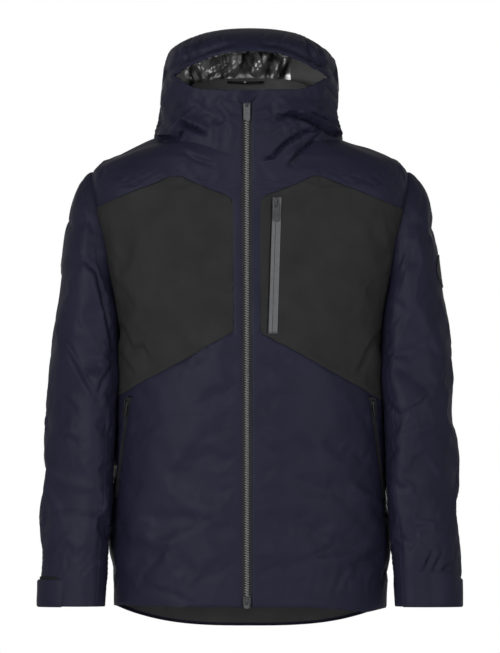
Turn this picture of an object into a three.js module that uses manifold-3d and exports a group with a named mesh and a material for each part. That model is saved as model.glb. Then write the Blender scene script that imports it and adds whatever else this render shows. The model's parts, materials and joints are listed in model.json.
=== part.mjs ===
// A hooded foul weather jacket, zipped up and hanging in the shape of its wearer.
// Millimetres, +Z up, the front of the jacket faces -Y and the wearer's left is +X.
// Heights are given above the lowest point of the back hem. The last group shifts
// everything so that the origin is at the hanging loop inside the neck.
import * as THREE from 'three';
import { mergeVertices } from 'three/addons/utils/BufferGeometryUtils.js';
import Module from 'manifold-3d';

const wasm = await Module();
wasm.setup();

// ---------------------------------------------------------------- driving dimensions
const RIGHT = -1;
const LEFT = 1;
const GAP = 0.4;

const SHELL = 2.4;
const BAG_LAYER = [2.8, 4.0];
const LINING_LAYER = [4.4, 5.6];
const FLAP_LAYER = [7.2, 8.2];

// The body of the jacket: height, half width, depth from the side seam to the back.
const BODY_ROWS = [
  [-12, 222, 138], [144, 222, 138], [380, 214, 136], [536, 212, 129], [616, 227, 124],
  [672, 238, 118], [709, 252, 110], [718, 259, 107], [744, 227, 100], [771, 154, 97], [810, 60, 92],
];
const BODY_ROUNDNESS = 2.3;
const BODY_SIDES = 28;
const HOOD_SIDES = 20;
const SLEEVE_SIDES = 16;
const FRONT_DEPTH = 138;
const FRONT_BEND = 380;
const FRONT_LEAN = 0.063;
const HEM_HALF = 222;
const FRONT_HEM = [29, 33];
const BACK_HEM_RISE = 33;
const YOKE_HEIGHT = 640;
const FRONT_SEAM = 665;
const CHEST_EDGE = 21.5;

// The neckline is a slanted plane, lower in front.
const NECK_FRONT = [-115, 752];
const NECK_BACK = [95, 800];

// The hood with its standing collar: height, half width, front depth, back depth.
const HOOD_ROWS = [
  [728, 150, 116.1, 92], [755, 151, 114.4, 107], [782, 151, 112.7, 114], [808, 143, 111, 118],
  [850, 141, 108.4, 124], [878, 137, 114, 127], [905, 134, 120, 123], [925, 118, 116, 112],
  [937, 104, 103, 99], [949, 78, 78, 75], [957, 42, 42, 40],
];
const HOOD_ROUNDNESS = 2.25;
const HOOD_PIVOT = [113, 745];
const HOOD_CORNER = [-75, 873];
const FACE = { centre: [3, 878], half: [122, 42], chin: 858, chinHalf: 88 };
const BRIM_BACK = -58;
const HOOD_CENTRE_HALF = 52;

// The soft collar that stands inside the hood.
const COLLAR_ROWS = [
  [738, 140, 106, 92], [778, 128, 98, 88], [800, 112, 90, 82], [822, 99, 82, 77], [884, 94, 79, 75],
];
const COLLAR_WALL = 3;
const COLLAR_SHELL_BACK = 92;
const COLLAR_TOP = [[-85, 843], [80, 877]];

// One sleeve as two rails, each row: outer edge, inner edge, half depth, middle depth.
const SLEEVE_ROWS = [
  [[236, 712], [186, 562], 66, 2],
  [[259, 718], [212, 536], 76, 2],
  [[282, 680], [212.8, 522], 77, 2],
  [[298, 616], [214, 498], 75, 1],
  [[318, 456], [217.5, 410], 68, -4],
  [[325, 360], [220, 345], 65, -8],
  [[334, 200], [227, 200], 61, -18],
  [[340, 27], [232, 27], 56, -28],
];
const SLEEVE_ROUNDNESS = 2.2;
const SLEEVE_SEAM = 0.86;
const CUFF_FACING_TOP = 62;

// How far sideways and forward cutting blocks reach, and their lowest and highest places.
const FAR = 400;
const FLOOR = -50;
const SKY = 1000;

// Cuff tabs, sewn at the outer edge of the sleeve: the height band, and how far each end reaches.
const TAB_BAND = [28, 85];
const TAB_BASE = -28.5;
const STRIP_BASE = -30;
const TAB_END = { [RIGHT]: 296, [LEFT]: 244 };
const TAB_LAYER = [2.1, 4.1];
const HOOK_LAYER = [1.2, 1.8];
const LOOP_LAYER = [0.3, 0.9];
const HOOK_LENGTH = 26;
const HOOK_MARGIN = 6;
const LOOP_MARGIN = 8;

const BADGE = { height: 566, depth: -8, radius: 27, layer: [0.3, 1.1] };
const HANGER = { x: -8, back: 67.6, height: 868, width: 57, reach: 8, strip: 1.8, tall: 5, foot: 3.5 };
const LABEL = { half: 12, below: [22, 6], thick: 0.6 };

// Zips: everything is a distance from the middle of the slit or outward from the cloth.
const MAIN_ZIP_X = -5;
const MAIN_ZIP = {
  ends: [32, 843], slit: 0.6, tape: 9.2, row: 4.4, opening: 9.5, rowLayer: [-0.4, 1.8],
  tapeLayer: [-1.7, -0.7], plate: [2.1, 3.6], rear: [-3.2, -2.0], plateHalf: 6.2, rearHalf: 5,
  slider: 14, pull: { half: 5.2, length: 29 },
};
const CHEST_ZIP = {
  ends: [466, 682], slit: 0.5, tape: 7.9, row: 2.3, opening: 8.2, rowLayer: [-1.6, -0.5],
  tapeLayer: [-0.2, 0.8], plate: [1.1, 2.3], rear: [-2.9, -1.9], plateHalf: 4.2, rearHalf: 3.4,
  slider: 12, pull: { half: 5.4, length: 30 },
};
const CHEST_ZIP_X = [35.2, 42];
const HAND_ZIP = {
  ends: [0, 166], slit: 0.45, tape: 3.9, row: 2.1, opening: 4.3, rowLayer: [-0.8, 1.0],
  tapeLayer: [-1.6, -0.6], plate: [1.3, 2.5], rear: [-2.9, -1.9], plateHalf: 3.5, rearHalf: 3.1,
  slider: 11, pull: { half: 4.4, length: 24 },
};
const HAND_ZIP_TOP = [193, 366];
const HAND_ZIP_FOOT = [214, 203];
const HAND_ZIP_LIFT = 1;
const MAIN_SLIDER = 835;
const LOWER_SLIDER = 41;
const CHEST_SLIDER = 675;
const HAND_SLIDER = 159;
const LOWER_PULL = { half: 4.2, length: 13 };
const ZIP_STOP = 3;
const GARAGE = { half: 9.2, ends: [843.5, 857], layer: [-1.6, 1.4] };
const ZIP_FOOT = { half: 5, ends: [24, 32], layer: [-2.6, 1.8] };
const FLAP = { half: 21, ends: [40, 838] };
const FLAP_CLEAR = 22;
const PULL_HALF_THICK = 0.8;
const PULL_BAR = 0.7;

// ---------------------------------------------------------------- colours
const NAVY = new THREE.MeshStandardMaterial({ color: 0x2b2a3e, roughness: 0.75, metalness: 0 });
const GREY = new THREE.MeshStandardMaterial({ color: 0x323234, roughness: 0.85, metalness: 0 });
const LINING = new THREE.MeshStandardMaterial({ color: 0x2d2d2f, roughness: 0.7, metalness: 0 });
const SILVER = new THREE.MeshStandardMaterial({ color: 0x8c8c90, roughness: 0.35, metalness: 0.6 });
const BLACK = new THREE.MeshStandardMaterial({ color: 0x161618, roughness: 0.8, metalness: 0 });
const TEETH = new THREE.MeshStandardMaterial({ color: 0x57585c, roughness: 0.45, metalness: 0.1 });
const METAL = new THREE.MeshStandardMaterial({ color: 0x8d8f94, roughness: 0.35, metalness: 0.9 });
const REFLECTIVE = new THREE.MeshStandardMaterial({ color: 0x616266, roughness: 0.4, metalness: 0.3 });
const WHITE = new THREE.MeshStandardMaterial({ color: 0xdcdcdc, roughness: 0.8, metalness: 0 });

// ---------------------------------------------------------------- solids
function solidOf(geometry) {
  geometry.deleteAttribute('normal');
  geometry.deleteAttribute('uv');
  const merged = mergeVertices(geometry, 1e-4);
  const vertProperties = new Float32Array(merged.attributes.position.array);
  const triVerts = new Uint32Array(merged.index.array);
  return new wasm.Manifold(new wasm.Mesh({ numProp: 3, vertProperties, triVerts }));
}

function geometryOf(solid) {
  const pieces = solid.decompose();
  pieces.sort((a, b) => b.volume() - a.volume());
  const { vertProperties, triVerts } = pieces[0].getMesh();
  const geometry = new THREE.BufferGeometry();
  geometry.setAttribute('position', new THREE.BufferAttribute(new Float32Array(vertProperties), 3));
  geometry.setIndex(new THREE.BufferAttribute(new Uint32Array(triVerts), 1));
  geometry.computeVertexNormals();
  return geometry;
}

// Moves every vertex of a geometry by a function of its place.
function bend(geometry, move) {
  geometry.deleteAttribute('normal');
  geometry.deleteAttribute('uv');
  const bent = mergeVertices(geometry, 1e-4);
  const places = bent.attributes.position;
  for (let i = 0; i < places.count; i += 1) {
    const [x, y, z] = move(places.getX(i), places.getY(i), places.getZ(i));
    places.setXYZ(i, x, y, z);
  }
  return solidOf(bent);
}

// A closed tube: wall(angle, t) is the skin and core(t) the middle line, t from 0 to 1.
function tube(wall, core, around, along) {
  const geometry = new THREE.CylinderGeometry(1, 1, 1, around, along);
  return bend(geometry, (x, y, z) => {
    const radius = Math.hypot(x, z);
    const t = y + 0.5;
    const middle = core(t);
    const skin = wall(Math.atan2(-z, x), t);
    return middle.map((value, axis) => value + radius * (skin[axis] - value));
  });
}

// An outline drawn as seen from the front, pushed through the jacket from y low to y high.
function frontPrism(outline, low, high) {
  const shape = new THREE.Shape(outline.map(([x, z]) => new THREE.Vector2(x, z)));
  const geometry = new THREE.ExtrudeGeometry(shape, { depth: high - low, bevelEnabled: false });
  geometry.rotateX(Math.PI / 2);
  geometry.translate(0, high, 0);
  return solidOf(geometry);
}

// An outline of depth and height drawn as seen from the side, pushed from x low to x high.
function sidePrism(outline, low, high) {
  const shape = new THREE.Shape(outline.map(([y, z]) => new THREE.Vector2(y, z)));
  const geometry = new THREE.ExtrudeGeometry(shape, { depth: high - low, bevelEnabled: false });
  const turn = new THREE.Matrix4().makeBasis(
    new THREE.Vector3(0, 1, 0), new THREE.Vector3(0, 0, 1), new THREE.Vector3(1, 0, 0));
  geometry.applyMatrix4(turn);
  geometry.translate(low, 0, 0);
  return solidOf(geometry);
}

function block(xs, ys, zs) {
  const geometry = new THREE.BoxGeometry(xs[1] - xs[0], ys[1] - ys[0], zs[1] - zs[0]);
  geometry.translate((xs[0] + xs[1]) / 2, (ys[0] + ys[1]) / 2, (zs[0] + zs[1]) / 2);
  return solidOf(geometry);
}

// The value in a column of rows, read at a height between them.
function readRows(rows, height, column) {
  const last = rows.length - 1;
  const next = rows.findIndex((row) => row[0] >= height);
  if (next === 0) return rows[0][column];
  if (next < 0) return rows[last][column];
  const below = rows[next - 1];
  const above = rows[next];
  const share = (height - below[0]) / (above[0] - below[0]);
  return below[column] + share * (above[column] - below[column]);
}

function oval(angle, half, front, back, roundness) {
  const power = 2 / roundness;
  const c = Math.cos(angle);
  const s = Math.sin(angle);
  const depth = s < 0 ? front : back;
  return [half * Math.sign(c) * Math.abs(c) ** power, depth * Math.sign(s) * Math.abs(s) ** power];
}

// ---------------------------------------------------------------- the big soft forms
const frontDepth = (z) => FRONT_DEPTH - FRONT_LEAN * Math.max(0, z - FRONT_BEND);

// The body, drawn in by an inset on every side; a negative inset swells it.
function bodyForm(inset, around = BODY_SIDES) {
  const heights = BODY_ROWS.map((row) => row[0]);
  const at = (t) => heights[Math.round(t * (heights.length - 1))];
  const wall = (angle, t) => {
    const z = at(t);
    const reach = z > YOKE_HEIGHT ? z + inset : z;
    const half = readRows(BODY_ROWS, reach, 1) - inset;
    const back = readRows(BODY_ROWS, reach, 2) - inset;
    return [...oval(angle, half, frontDepth(z) - inset, back, BODY_ROUNDNESS), z];
  };
  return tube(wall, (t) => [0, 0, at(t)], around, heights.length - 1);
}

// A form given by rows of height, half width, front depth and back depth.
function rowForm(rows, inset, roundness, around, bottomDrop = 0) {
  const at = (t) => rows[Math.round(t * (rows.length - 1))][0] - (t === 0 ? bottomDrop : 0);
  const wall = (angle, t) => {
    const z = at(t);
    const reach = z + Math.min(inset, rows[rows.length - 1][0] - z);
    const size = [1, 2, 3].map((column) => readRows(rows, Math.max(reach, rows[0][0]), column) - inset);
    return [...oval(angle, ...size, roundness), z - (t === 1 ? inset : 0)];
  };
  return tube(wall, (t) => [0, 0, at(t) - (t === 1 ? inset : 0)], around, rows.length - 1);
}

const hoodForm = (inset, bottomDrop, around = HOOD_SIDES) => (
  rowForm(HOOD_ROWS, inset, HOOD_ROUNDNESS, around, bottomDrop));

// A sleeve row moved across and up.
const movedRow = ([outer, inner, depth, middle], across, up) => (
  [[outer[0] + across, outer[1] + up], [inner[0] + across, inner[1] + up], depth, middle]);

// One sleeve; a positive reach adds a ring past each end so that the tube can cut through.
function sleeveForm(side, inset, reach = 0, around = SLEEVE_SIDES) {
  const first = SLEEVE_ROWS[0];
  const end = SLEEVE_ROWS[SLEEVE_ROWS.length - 1];
  const rows = reach > 0
    ? [movedRow(first, -reach, -0.3 * reach), ...SLEEVE_ROWS, movedRow(end, 0, -reach)]
    : SLEEVE_ROWS;
  const rowAt = (t) => rows[Math.round(t * (rows.length - 1))];
  const core = (t) => {
    const [outer, inner, , middle] = rowAt(t);
    return [(side * (outer[0] + inner[0])) / 2, middle, (outer[1] + inner[1]) / 2];
  };
  const wall = (angle, t) => {
    const [outer, inner, depth, middle] = rowAt(t);
    const half = [(outer[0] - inner[0]) / 2, (outer[1] - inner[1]) / 2];
    const shrink = 1 - inset / Math.hypot(...half);
    const [across, back] = oval(angle, shrink, depth - inset, depth - inset, SLEEVE_ROUNDNESS);
    const [x, , z] = core(t);
    return [x + side * across * half[0], middle + back, z + across * half[1]];
  };
  return turnedUp(tube(wall, core, around, rows.length - 1));
}

// Turns a solid whose faces point inward the right way out.
function turnedUp(solid) {
  if (solid.volume() > 0) return solid;
  const { vertProperties, triVerts } = solid.getMesh();
  const flipped = new Uint32Array(triVerts).reverse();
  return new wasm.Manifold(new wasm.Mesh({ numProp: 3, vertProperties, triVerts: flipped }));
}

// The cloth between two depths under the skin of a form.
const layer = (form, outer, inner, around) => form(outer, around).subtract(form(inner, around));

// ---------------------------------------------------------------- cutting planes and outlines
// A line of depth and height through two points, carried far to both sides and lifted.
function slopedLine([y1, z1], [y2, z2], lift) {
  const slope = (z2 - z1) / (y2 - y1);
  return [[-FAR, z1 + slope * (-FAR - y1) + lift], [FAR, z1 + slope * (FAR - y1) + lift]];
}

const belowLine = (line) => sidePrism([[-FAR, -FAR], [FAR, -FAR], line[1], line[0]], -FAR, FAR);
const aboveLine = (line) => sidePrism([line[0], line[1], [FAR, 2000], [-FAR, 2000]], -FAR, FAR);
const neckLine = (lift) => slopedLine(NECK_FRONT, NECK_BACK, lift);
const hoodLine = (lift) => slopedLine(HOOD_CORNER, HOOD_PIVOT, lift);

const frontHalf = block([-FAR, FAR], [-FAR, -GAP / 2], [FLOOR, SKY]);
const backHalf = block([-FAR, FAR], [GAP / 2, FAR], [FLOOR, SKY]);

function sideOf(side, clearance) {
  const edge = MAIN_ZIP_X + side * clearance;
  const xs = side < 0 ? [-FAR, edge] : [edge, FAR];
  return block(xs, [-FAR, FAR], [FLOOR, SKY]);
}

const backHem = (x) => BACK_HEM_RISE * Math.abs(x / HEM_HALF) ** 3;

// Everything under the hem, raised by a lift for the layers that end higher.
function underHem(lift) {
  const [middle, corner] = FRONT_HEM.map((value) => value + lift);
  const front = frontPrism([
    [-FAR, -60], [FAR, -60], [FAR, corner], [HEM_HALF, corner], [110, middle], [-110, middle],
    [-HEM_HALF, corner], [-FAR, corner]], -FAR, 0);
  const across = [-222, -185, -148, -100, -50, 0, 50, 100, 148, 185, 222];
  const curve = across.map((x) => [x, backHem(x) + lift]);
  const back = frontPrism([
    [FAR, -60], [FAR, corner], ...curve.reverse(), [-FAR, corner], [-FAR, -60]].reverse(), 0, FAR);
  return front.add(back);
}

// The chest panel of one side, its outline grown for the pieces around it.
function chestOutline(side, grow) {
  const edge = CHEST_EDGE - grow;
  const outline = [
    [edge, 468 - grow], [75, 440 - grow], [144, 401 - grow], [176, 384 - grow], [213, 360 - grow],
    [FAR, 280 - grow], [FAR, 620 + grow], [238, 669 + grow], [102, 717 + grow], [75, 704 + grow],
    [50, 689 + grow], [33, 676 + grow], [edge, 658 + grow]];
  return outline.map(([x, z]) => [MAIN_ZIP_X + side * x, z]);
}

const chestPrism = (side, grow) => frontPrism(chestOutline(side, grow), -FAR, 0);

// ---------------------------------------------------------------- zips
// Each zip has a frame: at(across, up, out) gives the place of a point on it.
const mainFrame = {
  at: (across, up, out) => [MAIN_ZIP_X + across, -frontDepth(up) - out, up],
};

const chestSurface = (z) => -frontDepth(z) * 0.991;
const chestFrame = {
  at: (across, up, out) => {
    const share = (up - CHEST_ZIP.ends[0]) / (CHEST_ZIP.ends[1] - CHEST_ZIP.ends[0]);
    const middle = CHEST_ZIP_X[0] + share * (CHEST_ZIP_X[1] - CHEST_ZIP_X[0]);
    return [middle + across, chestSurface(up) - out, up];
  },
};

function skinDepth(x, z) {
  const share = Math.abs(x) / readRows(BODY_ROWS, z, 1);
  return -frontDepth(z) * (1 - share ** BODY_ROUNDNESS) ** (1 / BODY_ROUNDNESS);
}

// A hand pocket zip lies along a straight line on the side of the body.
function handFrame(side) {
  const onSkin = ([x, z]) => new THREE.Vector3(side * x, skinDepth(x, z), z);
  const ends = [HAND_ZIP_FOOT, HAND_ZIP_TOP].map(onSkin);
  const up = ends[1].clone().sub(ends[0]).normalize();
  const out = new THREE.Vector3(-side * up.y, side * up.x, 0).normalize();
  const across = new THREE.Vector3().crossVectors(out.clone().negate(), up);
  const at = (acrossBy, upBy, outBy) => ends[0].clone()
    .addScaledVector(up, upBy).addScaledVector(out, outBy + HAND_ZIP_LIFT)
    .addScaledVector(across, acrossBy).toArray();
  return { at, up, out, across };
}

// A bar on a zip, from low to high in each direction, with a bend where the front bends.
function bar(frame, across, up, out) {
  const bends = frame === mainFrame && up[0] < FRONT_BEND && up[1] > FRONT_BEND;
  const stops = bends ? [up[0], FRONT_BEND, up[1]] : up;
  const geometry = new THREE.BoxGeometry(1, 1, 1, 1, 1, stops.length - 1);
  return bend(geometry, (x, y, z) => frame.at(
    across[0] + (x + 0.5) * (across[1] - across[0]),
    stops[Math.round((z + 0.5) * (stops.length - 1))],
    out[0] + (0.5 - y) * (out[1] - out[0])));
}

const wholeZip = (zip) => [zip.ends[0] + GAP, zip.ends[1] - GAP];
const oneSide = (side, near, far) => (side < 0 ? [-far, -near] : [near, far]);

const zipTape = (frame, zip, side) => (
  bar(frame, oneSide(side, zip.slit, zip.tape), wholeZip(zip), zip.tapeLayer));
const zipRow = (frame, zip, side) => (
  bar(frame, oneSide(side, zip.slit, zip.row), wholeZip(zip), zip.rowLayer));

// Joins the two halves of a zip across the slit with a stop at its foot.
function joined(frame, zip, halves, depths) {
  const [low] = wholeZip(zip);
  return halves[0].add(halves[1]).add(bar(frame, [-zip.row, zip.row], [low, low + ZIP_STOP], depths));
}

const zipOpening = (frame, zip) => (
  bar(frame, [-zip.opening, zip.opening], zip.ends, [-9, 9]));

// The slider: a front plate and a rear plate on a keel, with a bridge for the pull.
function zipSlider(frame, zip, middle) {
  const half = zip.slider / 2;
  const ends = [middle - half, middle + half];
  const face = zip.plate[1];
  const front = bar(frame, [-zip.plateHalf, zip.plateHalf], ends, zip.plate);
  const rear = bar(frame, [-zip.rearHalf, zip.rearHalf], ends, zip.rear);
  const keel = bar(frame, [-0.25, 0.25], ends, [zip.rear[0] + 0.3, zip.plate[1] - 0.3]);
  const feet = bar(frame, [-1.5, 1.5], [middle - 5, middle + 5], [face - 0.3, face + 4.4]);
  const hollow = bar(frame, [-3, 3], [middle - 3.2, middle + 3.2], [face, face + 3.2]);
  return front.add(rear).add(keel).add(feet.subtract(hollow));
}

// The place of the bar that a pull swings on.
const pullPivot = (frame, zip, middle) => frame.at(0, middle, zip.plate[1] + 1.6);

// The pull hangs from its bar along the down direction of the given axes.
function zipPull(zip, pivot, across, out, up) {
  const { half, length } = zip.pull;
  const shape = new THREE.Shape();
  shape.moveTo(-half + 1.2, PULL_BAR);
  shape.lineTo(-half, -8);
  shape.lineTo(-half, -length + 3);
  shape.quadraticCurveTo(-half, -length, -half + 3, -length);
  shape.lineTo(half - 3, -length);
  shape.quadraticCurveTo(half, -length, half, -length + 3);
  shape.lineTo(half, -8);
  shape.lineTo(half - 1.2, PULL_BAR);
  const loop = new THREE.Path();
  loop.moveTo(-2.2, -PULL_BAR);
  loop.lineTo(2.2, -PULL_BAR);
  loop.lineTo(2.2, -7.2);
  loop.lineTo(-2.2, -7.2);
  shape.holes.push(loop);
  const geometry = new THREE.ExtrudeGeometry(
    shape, { depth: 2 * PULL_HALF_THICK, bevelEnabled: false, curveSegments: 3 });
  geometry.translate(0, 0, -PULL_HALF_THICK);
  const turn = new THREE.Matrix4().makeBasis(across, up, out);
  turn.setPosition(...pivot);
  geometry.applyMatrix4(turn);
  return solidOf(geometry);
}

const ACROSS = new THREE.Vector3(1, 0, 0);
const OUT = new THREE.Vector3(0, -1, 0);
const UP = new THREE.Vector3(0, 0, 1);

// ---------------------------------------------------------------- assembly
const jacket = new THREE.Group();

function addPiece(name, solid, material) {
  const mesh = new THREE.Mesh(geometryOf(solid), material);
  mesh.name = name;
  jacket.add(mesh);
}

const sideName = { [RIGHT]: 'R', [LEFT]: 'L' };
const handFrames = { [RIGHT]: handFrame(RIGHT), [LEFT]: handFrame(LEFT) };

// Body cloth: the shell of the torso with its hem, neck, armholes and zip openings cut.
const underEdge = underHem(0);
const belowNeck = belowLine(neckLine(0));
const armholes = [RIGHT, LEFT].map((side) => {
  const bore = sleeveForm(side, LINING_LAYER[1], 30);
  return bore.intersect(block(side < 0 ? [-FAR, -150] : [150, FAR], [-FAR, FAR], [530, 760]));
});
const zipHoles = [zipOpening(mainFrame, MAIN_ZIP), zipOpening(chestFrame, CHEST_ZIP),
  zipOpening(handFrames[RIGHT], HAND_ZIP), zipOpening(handFrames[LEFT], HAND_ZIP)];

function bodyCloth(outer, inner, hem, around) {
  const cloth = layer(bodyForm, outer, inner, around).subtract(hem).intersect(belowNeck);
  return armholes.reduce((rest, hole) => rest.subtract(hole), cloth);
}

const wholeShell = bodyCloth(0, SHELL, underEdge, BODY_SIDES);
const shell = zipHoles.reduce((rest, hole) => rest.subtract(hole), wholeShell);
const frontShell = shell.intersect(frontHalf);
const backShell = shell.intersect(backHalf);

for (const side of [RIGHT, LEFT]) {
  const mine = frontShell.intersect(sideOf(side, MAIN_ZIP.opening));
  const rest = mine.subtract(chestPrism(side, GAP));
  const aboveChest = block([30, 300].map((x) => side * x).sort((a, b) => a - b), [-FAR, 0], [500, 800]);
  addPiece(`chest_panel_${sideName[side]}`, mine.intersect(chestPrism(side, 0)), GREY);
  addPiece(`front_lower_${sideName[side]}`,
    rest.intersect(block([-FAR, FAR], [-FAR, 0], [FLOOR, FRONT_SEAM])).subtract(aboveChest), NAVY);
  addPiece(`front_yoke_${sideName[side]}`,
    rest.intersect(block([-FAR, FAR], [-FAR, 0], [FRONT_SEAM + GAP, SKY])), NAVY);
}
addPiece('back_panel', backShell.intersect(block([-FAR, FAR], [0, FAR], [FLOOR, YOKE_HEIGHT])), NAVY);
addPiece('back_yoke', backShell.intersect(block([-FAR, FAR], [0, FAR], [YOKE_HEIGHT + GAP, SKY])), NAVY);

// Lining of the body.
const lining = bodyCloth(...LINING_LAYER, underHem(5), BODY_SIDES / 2);
for (const side of [RIGHT, LEFT]) {
  addPiece(`front_lining_${sideName[side]}`,
    lining.intersect(frontHalf).intersect(sideOf(side, FLAP_CLEAR)), LINING);
}
addPiece('back_lining', lining.intersect(backHalf), LINING);
addPiece('storm_flap',
  bar(mainFrame, [-FLAP.half, FLAP.half], FLAP.ends, FLAP_LAYER.map((depth) => -depth).reverse()), NAVY);

// Collar and hood: one dome of cloth, cut by the neckline, the face opening and the hood seam.
const keepOff = bodyForm(-GAP).intersect(belowLine(neckLine(GAP)));
const aboveNeck = aboveLine(neckLine(GAP));
const belowHoodSeam = belowLine(hoodLine(-GAP));
const aboveHoodSeam = aboveLine(hoodLine(0));

// The face opening: a lens whose lower edge is the flatter chin edge.
function facePrism(grow) {
  const [cx, cz] = FACE.centre;
  const [rx, rz] = FACE.half.map((value) => value + grow);
  const arc = [];
  for (let step = 0; step <= 12; step += 1) {
    const angle = (Math.PI * step) / 12;
    arc.push([cx + rx * Math.cos(angle), cz + rz * Math.sin(angle)]);
  }
  const chin = FACE.chin - grow;
  const outline = [[cx - FACE.chinHalf, chin], [cx + FACE.chinHalf, chin], ...arc];
  return frontPrism(outline, -FAR, 0);
}

const dome = (outer, inner, around) => hoodForm(outer, 0, around).subtract(hoodForm(inner, 6, around));
const cap = dome(0, SHELL, HOOD_SIDES).subtract(facePrism(0)).subtract(keepOff);
const collarCloth = cap.intersect(belowHoodSeam)
  .intersect(block([-FAR, FAR], [-FAR, COLLAR_SHELL_BACK], [0, SKY]));
for (const side of [RIGHT, LEFT]) {
  addPiece(`collar_shell_${sideName[side]}`, collarCloth.intersect(sideOf(side, MAIN_ZIP.opening)), NAVY);
}
const hoodCloth = cap.intersect(aboveHoodSeam);
const brimBlock = block([-FAR, FAR], [-FAR, BRIM_BACK], [0, SKY]);
const behindBrim = block([-FAR, FAR], [BRIM_BACK + GAP, FAR], [0, SKY]);
const centreBlock = block([-HOOD_CENTRE_HALF, HOOD_CENTRE_HALF], [-FAR, FAR], [0, SKY]);
addPiece('hood_brim', hoodCloth.intersect(brimBlock), NAVY);
addPiece('hood_centre', hoodCloth.intersect(behindBrim).intersect(centreBlock), NAVY);
for (const side of [RIGHT, LEFT]) {
  const near = HOOD_CENTRE_HALF + GAP;
  const sidePart = block(side < 0 ? [-FAR, -near] : [near, FAR], [-FAR, FAR], [0, SKY]);
  addPiece(`hood_side_${sideName[side]}`, hoodCloth.intersect(behindBrim).intersect(sidePart), NAVY);
}
addPiece('hood_lining', dome(...LINING_LAYER, HOOD_SIDES / 2).subtract(facePrism(0)).subtract(keepOff)
  .intersect(aboveHoodSeam), SILVER);

const collarForm = (inset, drop) => rowForm(COLLAR_ROWS, inset, BODY_ROUNDNESS, 16, drop);
const innerCollar = collarForm(0, 0).subtract(collarForm(COLLAR_WALL, 6));
addPiece('inner_collar', innerCollar.intersect(aboveNeck).intersect(
  belowLine(slopedLine(...COLLAR_TOP, 0))).subtract(
  bar(mainFrame, [-FLAP_CLEAR, FLAP_CLEAR], [700, 850], [-9, 9])), LINING);

// Hanging loop and label at the back of the neck.
const loopY = [HANGER.back - HANGER.reach, HANGER.back];
const loopX = [HANGER.x - HANGER.width / 2, HANGER.x + HANGER.width / 2];
const loopZ = [HANGER.height - HANGER.tall / 2, HANGER.height + HANGER.tall / 2];
const loopHollow = block([loopX[0] + HANGER.foot, loopX[1] - HANGER.foot],
  [loopY[0] + HANGER.strip, loopY[1] + 1], [loopZ[0] - 1, loopZ[1] + 1]);
addPiece('hanging_loop', block(loopX, loopY, loopZ).subtract(loopHollow), BLACK);
addPiece('neck_label', block([HANGER.x - LABEL.half, HANGER.x + LABEL.half],
  [HANGER.back - LABEL.thick, HANGER.back], LABEL.below.map((drop) => HANGER.height - drop)), WHITE);

// Sleeves.
// The line of the seam along the inside of the arm, as seen from the front.
function sleeveSeam(side) {
  return SLEEVE_ROWS.map(([outer, inner]) => [
    side * (outer[0] + SLEEVE_SEAM * (inner[0] - outer[0])),
    outer[1] + SLEEVE_SEAM * (inner[1] - outer[1])]);
}

// A band of cloth round the front of a cuff, from the outer edge to an end, in from the tab's edges.
function cuffBand(side, base, end, depths, margin) {
  const [top, foot] = [TAB_BAND[1] - margin, TAB_BAND[0] + margin];
  const xs = [end, FAR].map((x) => side * x).sort((a, b) => a - b);
  const ring = sleeveForm(side, -depths[1]).subtract(sleeveForm(side, -depths[0], 8));
  return ring.intersect(block(xs, [-FAR, base], [foot, top]));
}

for (const side of [RIGHT, LEFT]) {
  const name = sideName[side];
  const cloth = sleeveForm(side, 0).subtract(sleeveForm(side, SHELL, 8)).subtract(keepOff);
  const seamLine = sleeveSeam(side);
  const low = [[side * 232, -60], [side * 100, -60], [side * 100, 760]];
  const inward = (grow) => {
    const outline = [[side * 160, 760], ...seamLine.map(([x, z]) => [x + side * grow, z]), ...low];
    return frontPrism(side < 0 ? outline.reverse() : outline, -FAR, FAR);
  };
  addPiece(`sleeve_under_${name}`, cloth.intersect(turnedUp(inward(0))), NAVY);
  addPiece(`sleeve_top_${name}`, cloth.subtract(turnedUp(inward(GAP))), NAVY);
  const liningAt = (inset, reach) => sleeveForm(side, inset, reach, SLEEVE_SIDES / 2);
  const inner = liningAt(LINING_LAYER[0], 0).subtract(liningAt(LINING_LAYER[1], 8)).subtract(keepOff);
  const above = block([-FAR, FAR], [-FAR, FAR], [CUFF_FACING_TOP, 800]);
  const below = block([-FAR, FAR], [-FAR, FAR], [0, CUFF_FACING_TOP - GAP]);
  addPiece(`sleeve_lining_${name}`, inner.intersect(above), LINING);
  addPiece(`cuff_facing_${name}`, inner.intersect(below), NAVY);

  const end = TAB_END[side];
  const hookBlock = block([end + 2, end + HOOK_LENGTH].map((x) => side * x).sort((a, b) => a - b),
    [-FAR, FAR], [0, 200]);
  addPiece(`cuff_tab_${name}`, cuffBand(side, TAB_BASE, end, TAB_LAYER, 0), NAVY);
  addPiece(`tab_hook_${name}`,
    cuffBand(side, STRIP_BASE, end, HOOK_LAYER, HOOK_MARGIN).intersect(hookBlock), BLACK);
  addPiece(`cuff_loop_strip_${name}`, cuffBand(side, STRIP_BASE, end + 3, LOOP_LAYER, LOOP_MARGIN), BLACK);
}

// Badge on the wearer's left upper sleeve, blank.
const badgeDisc = new THREE.CylinderGeometry(BADGE.radius, BADGE.radius, 200, 16);
badgeDisc.rotateZ(Math.PI / 2);
badgeDisc.translate(LEFT * 380, BADGE.depth, BADGE.height);
addPiece('sleeve_badge', sleeveForm(LEFT, -BADGE.layer[1]).subtract(sleeveForm(LEFT, -BADGE.layer[0], 8))
  .intersect(solidOf(badgeDisc)), BLACK);

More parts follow.
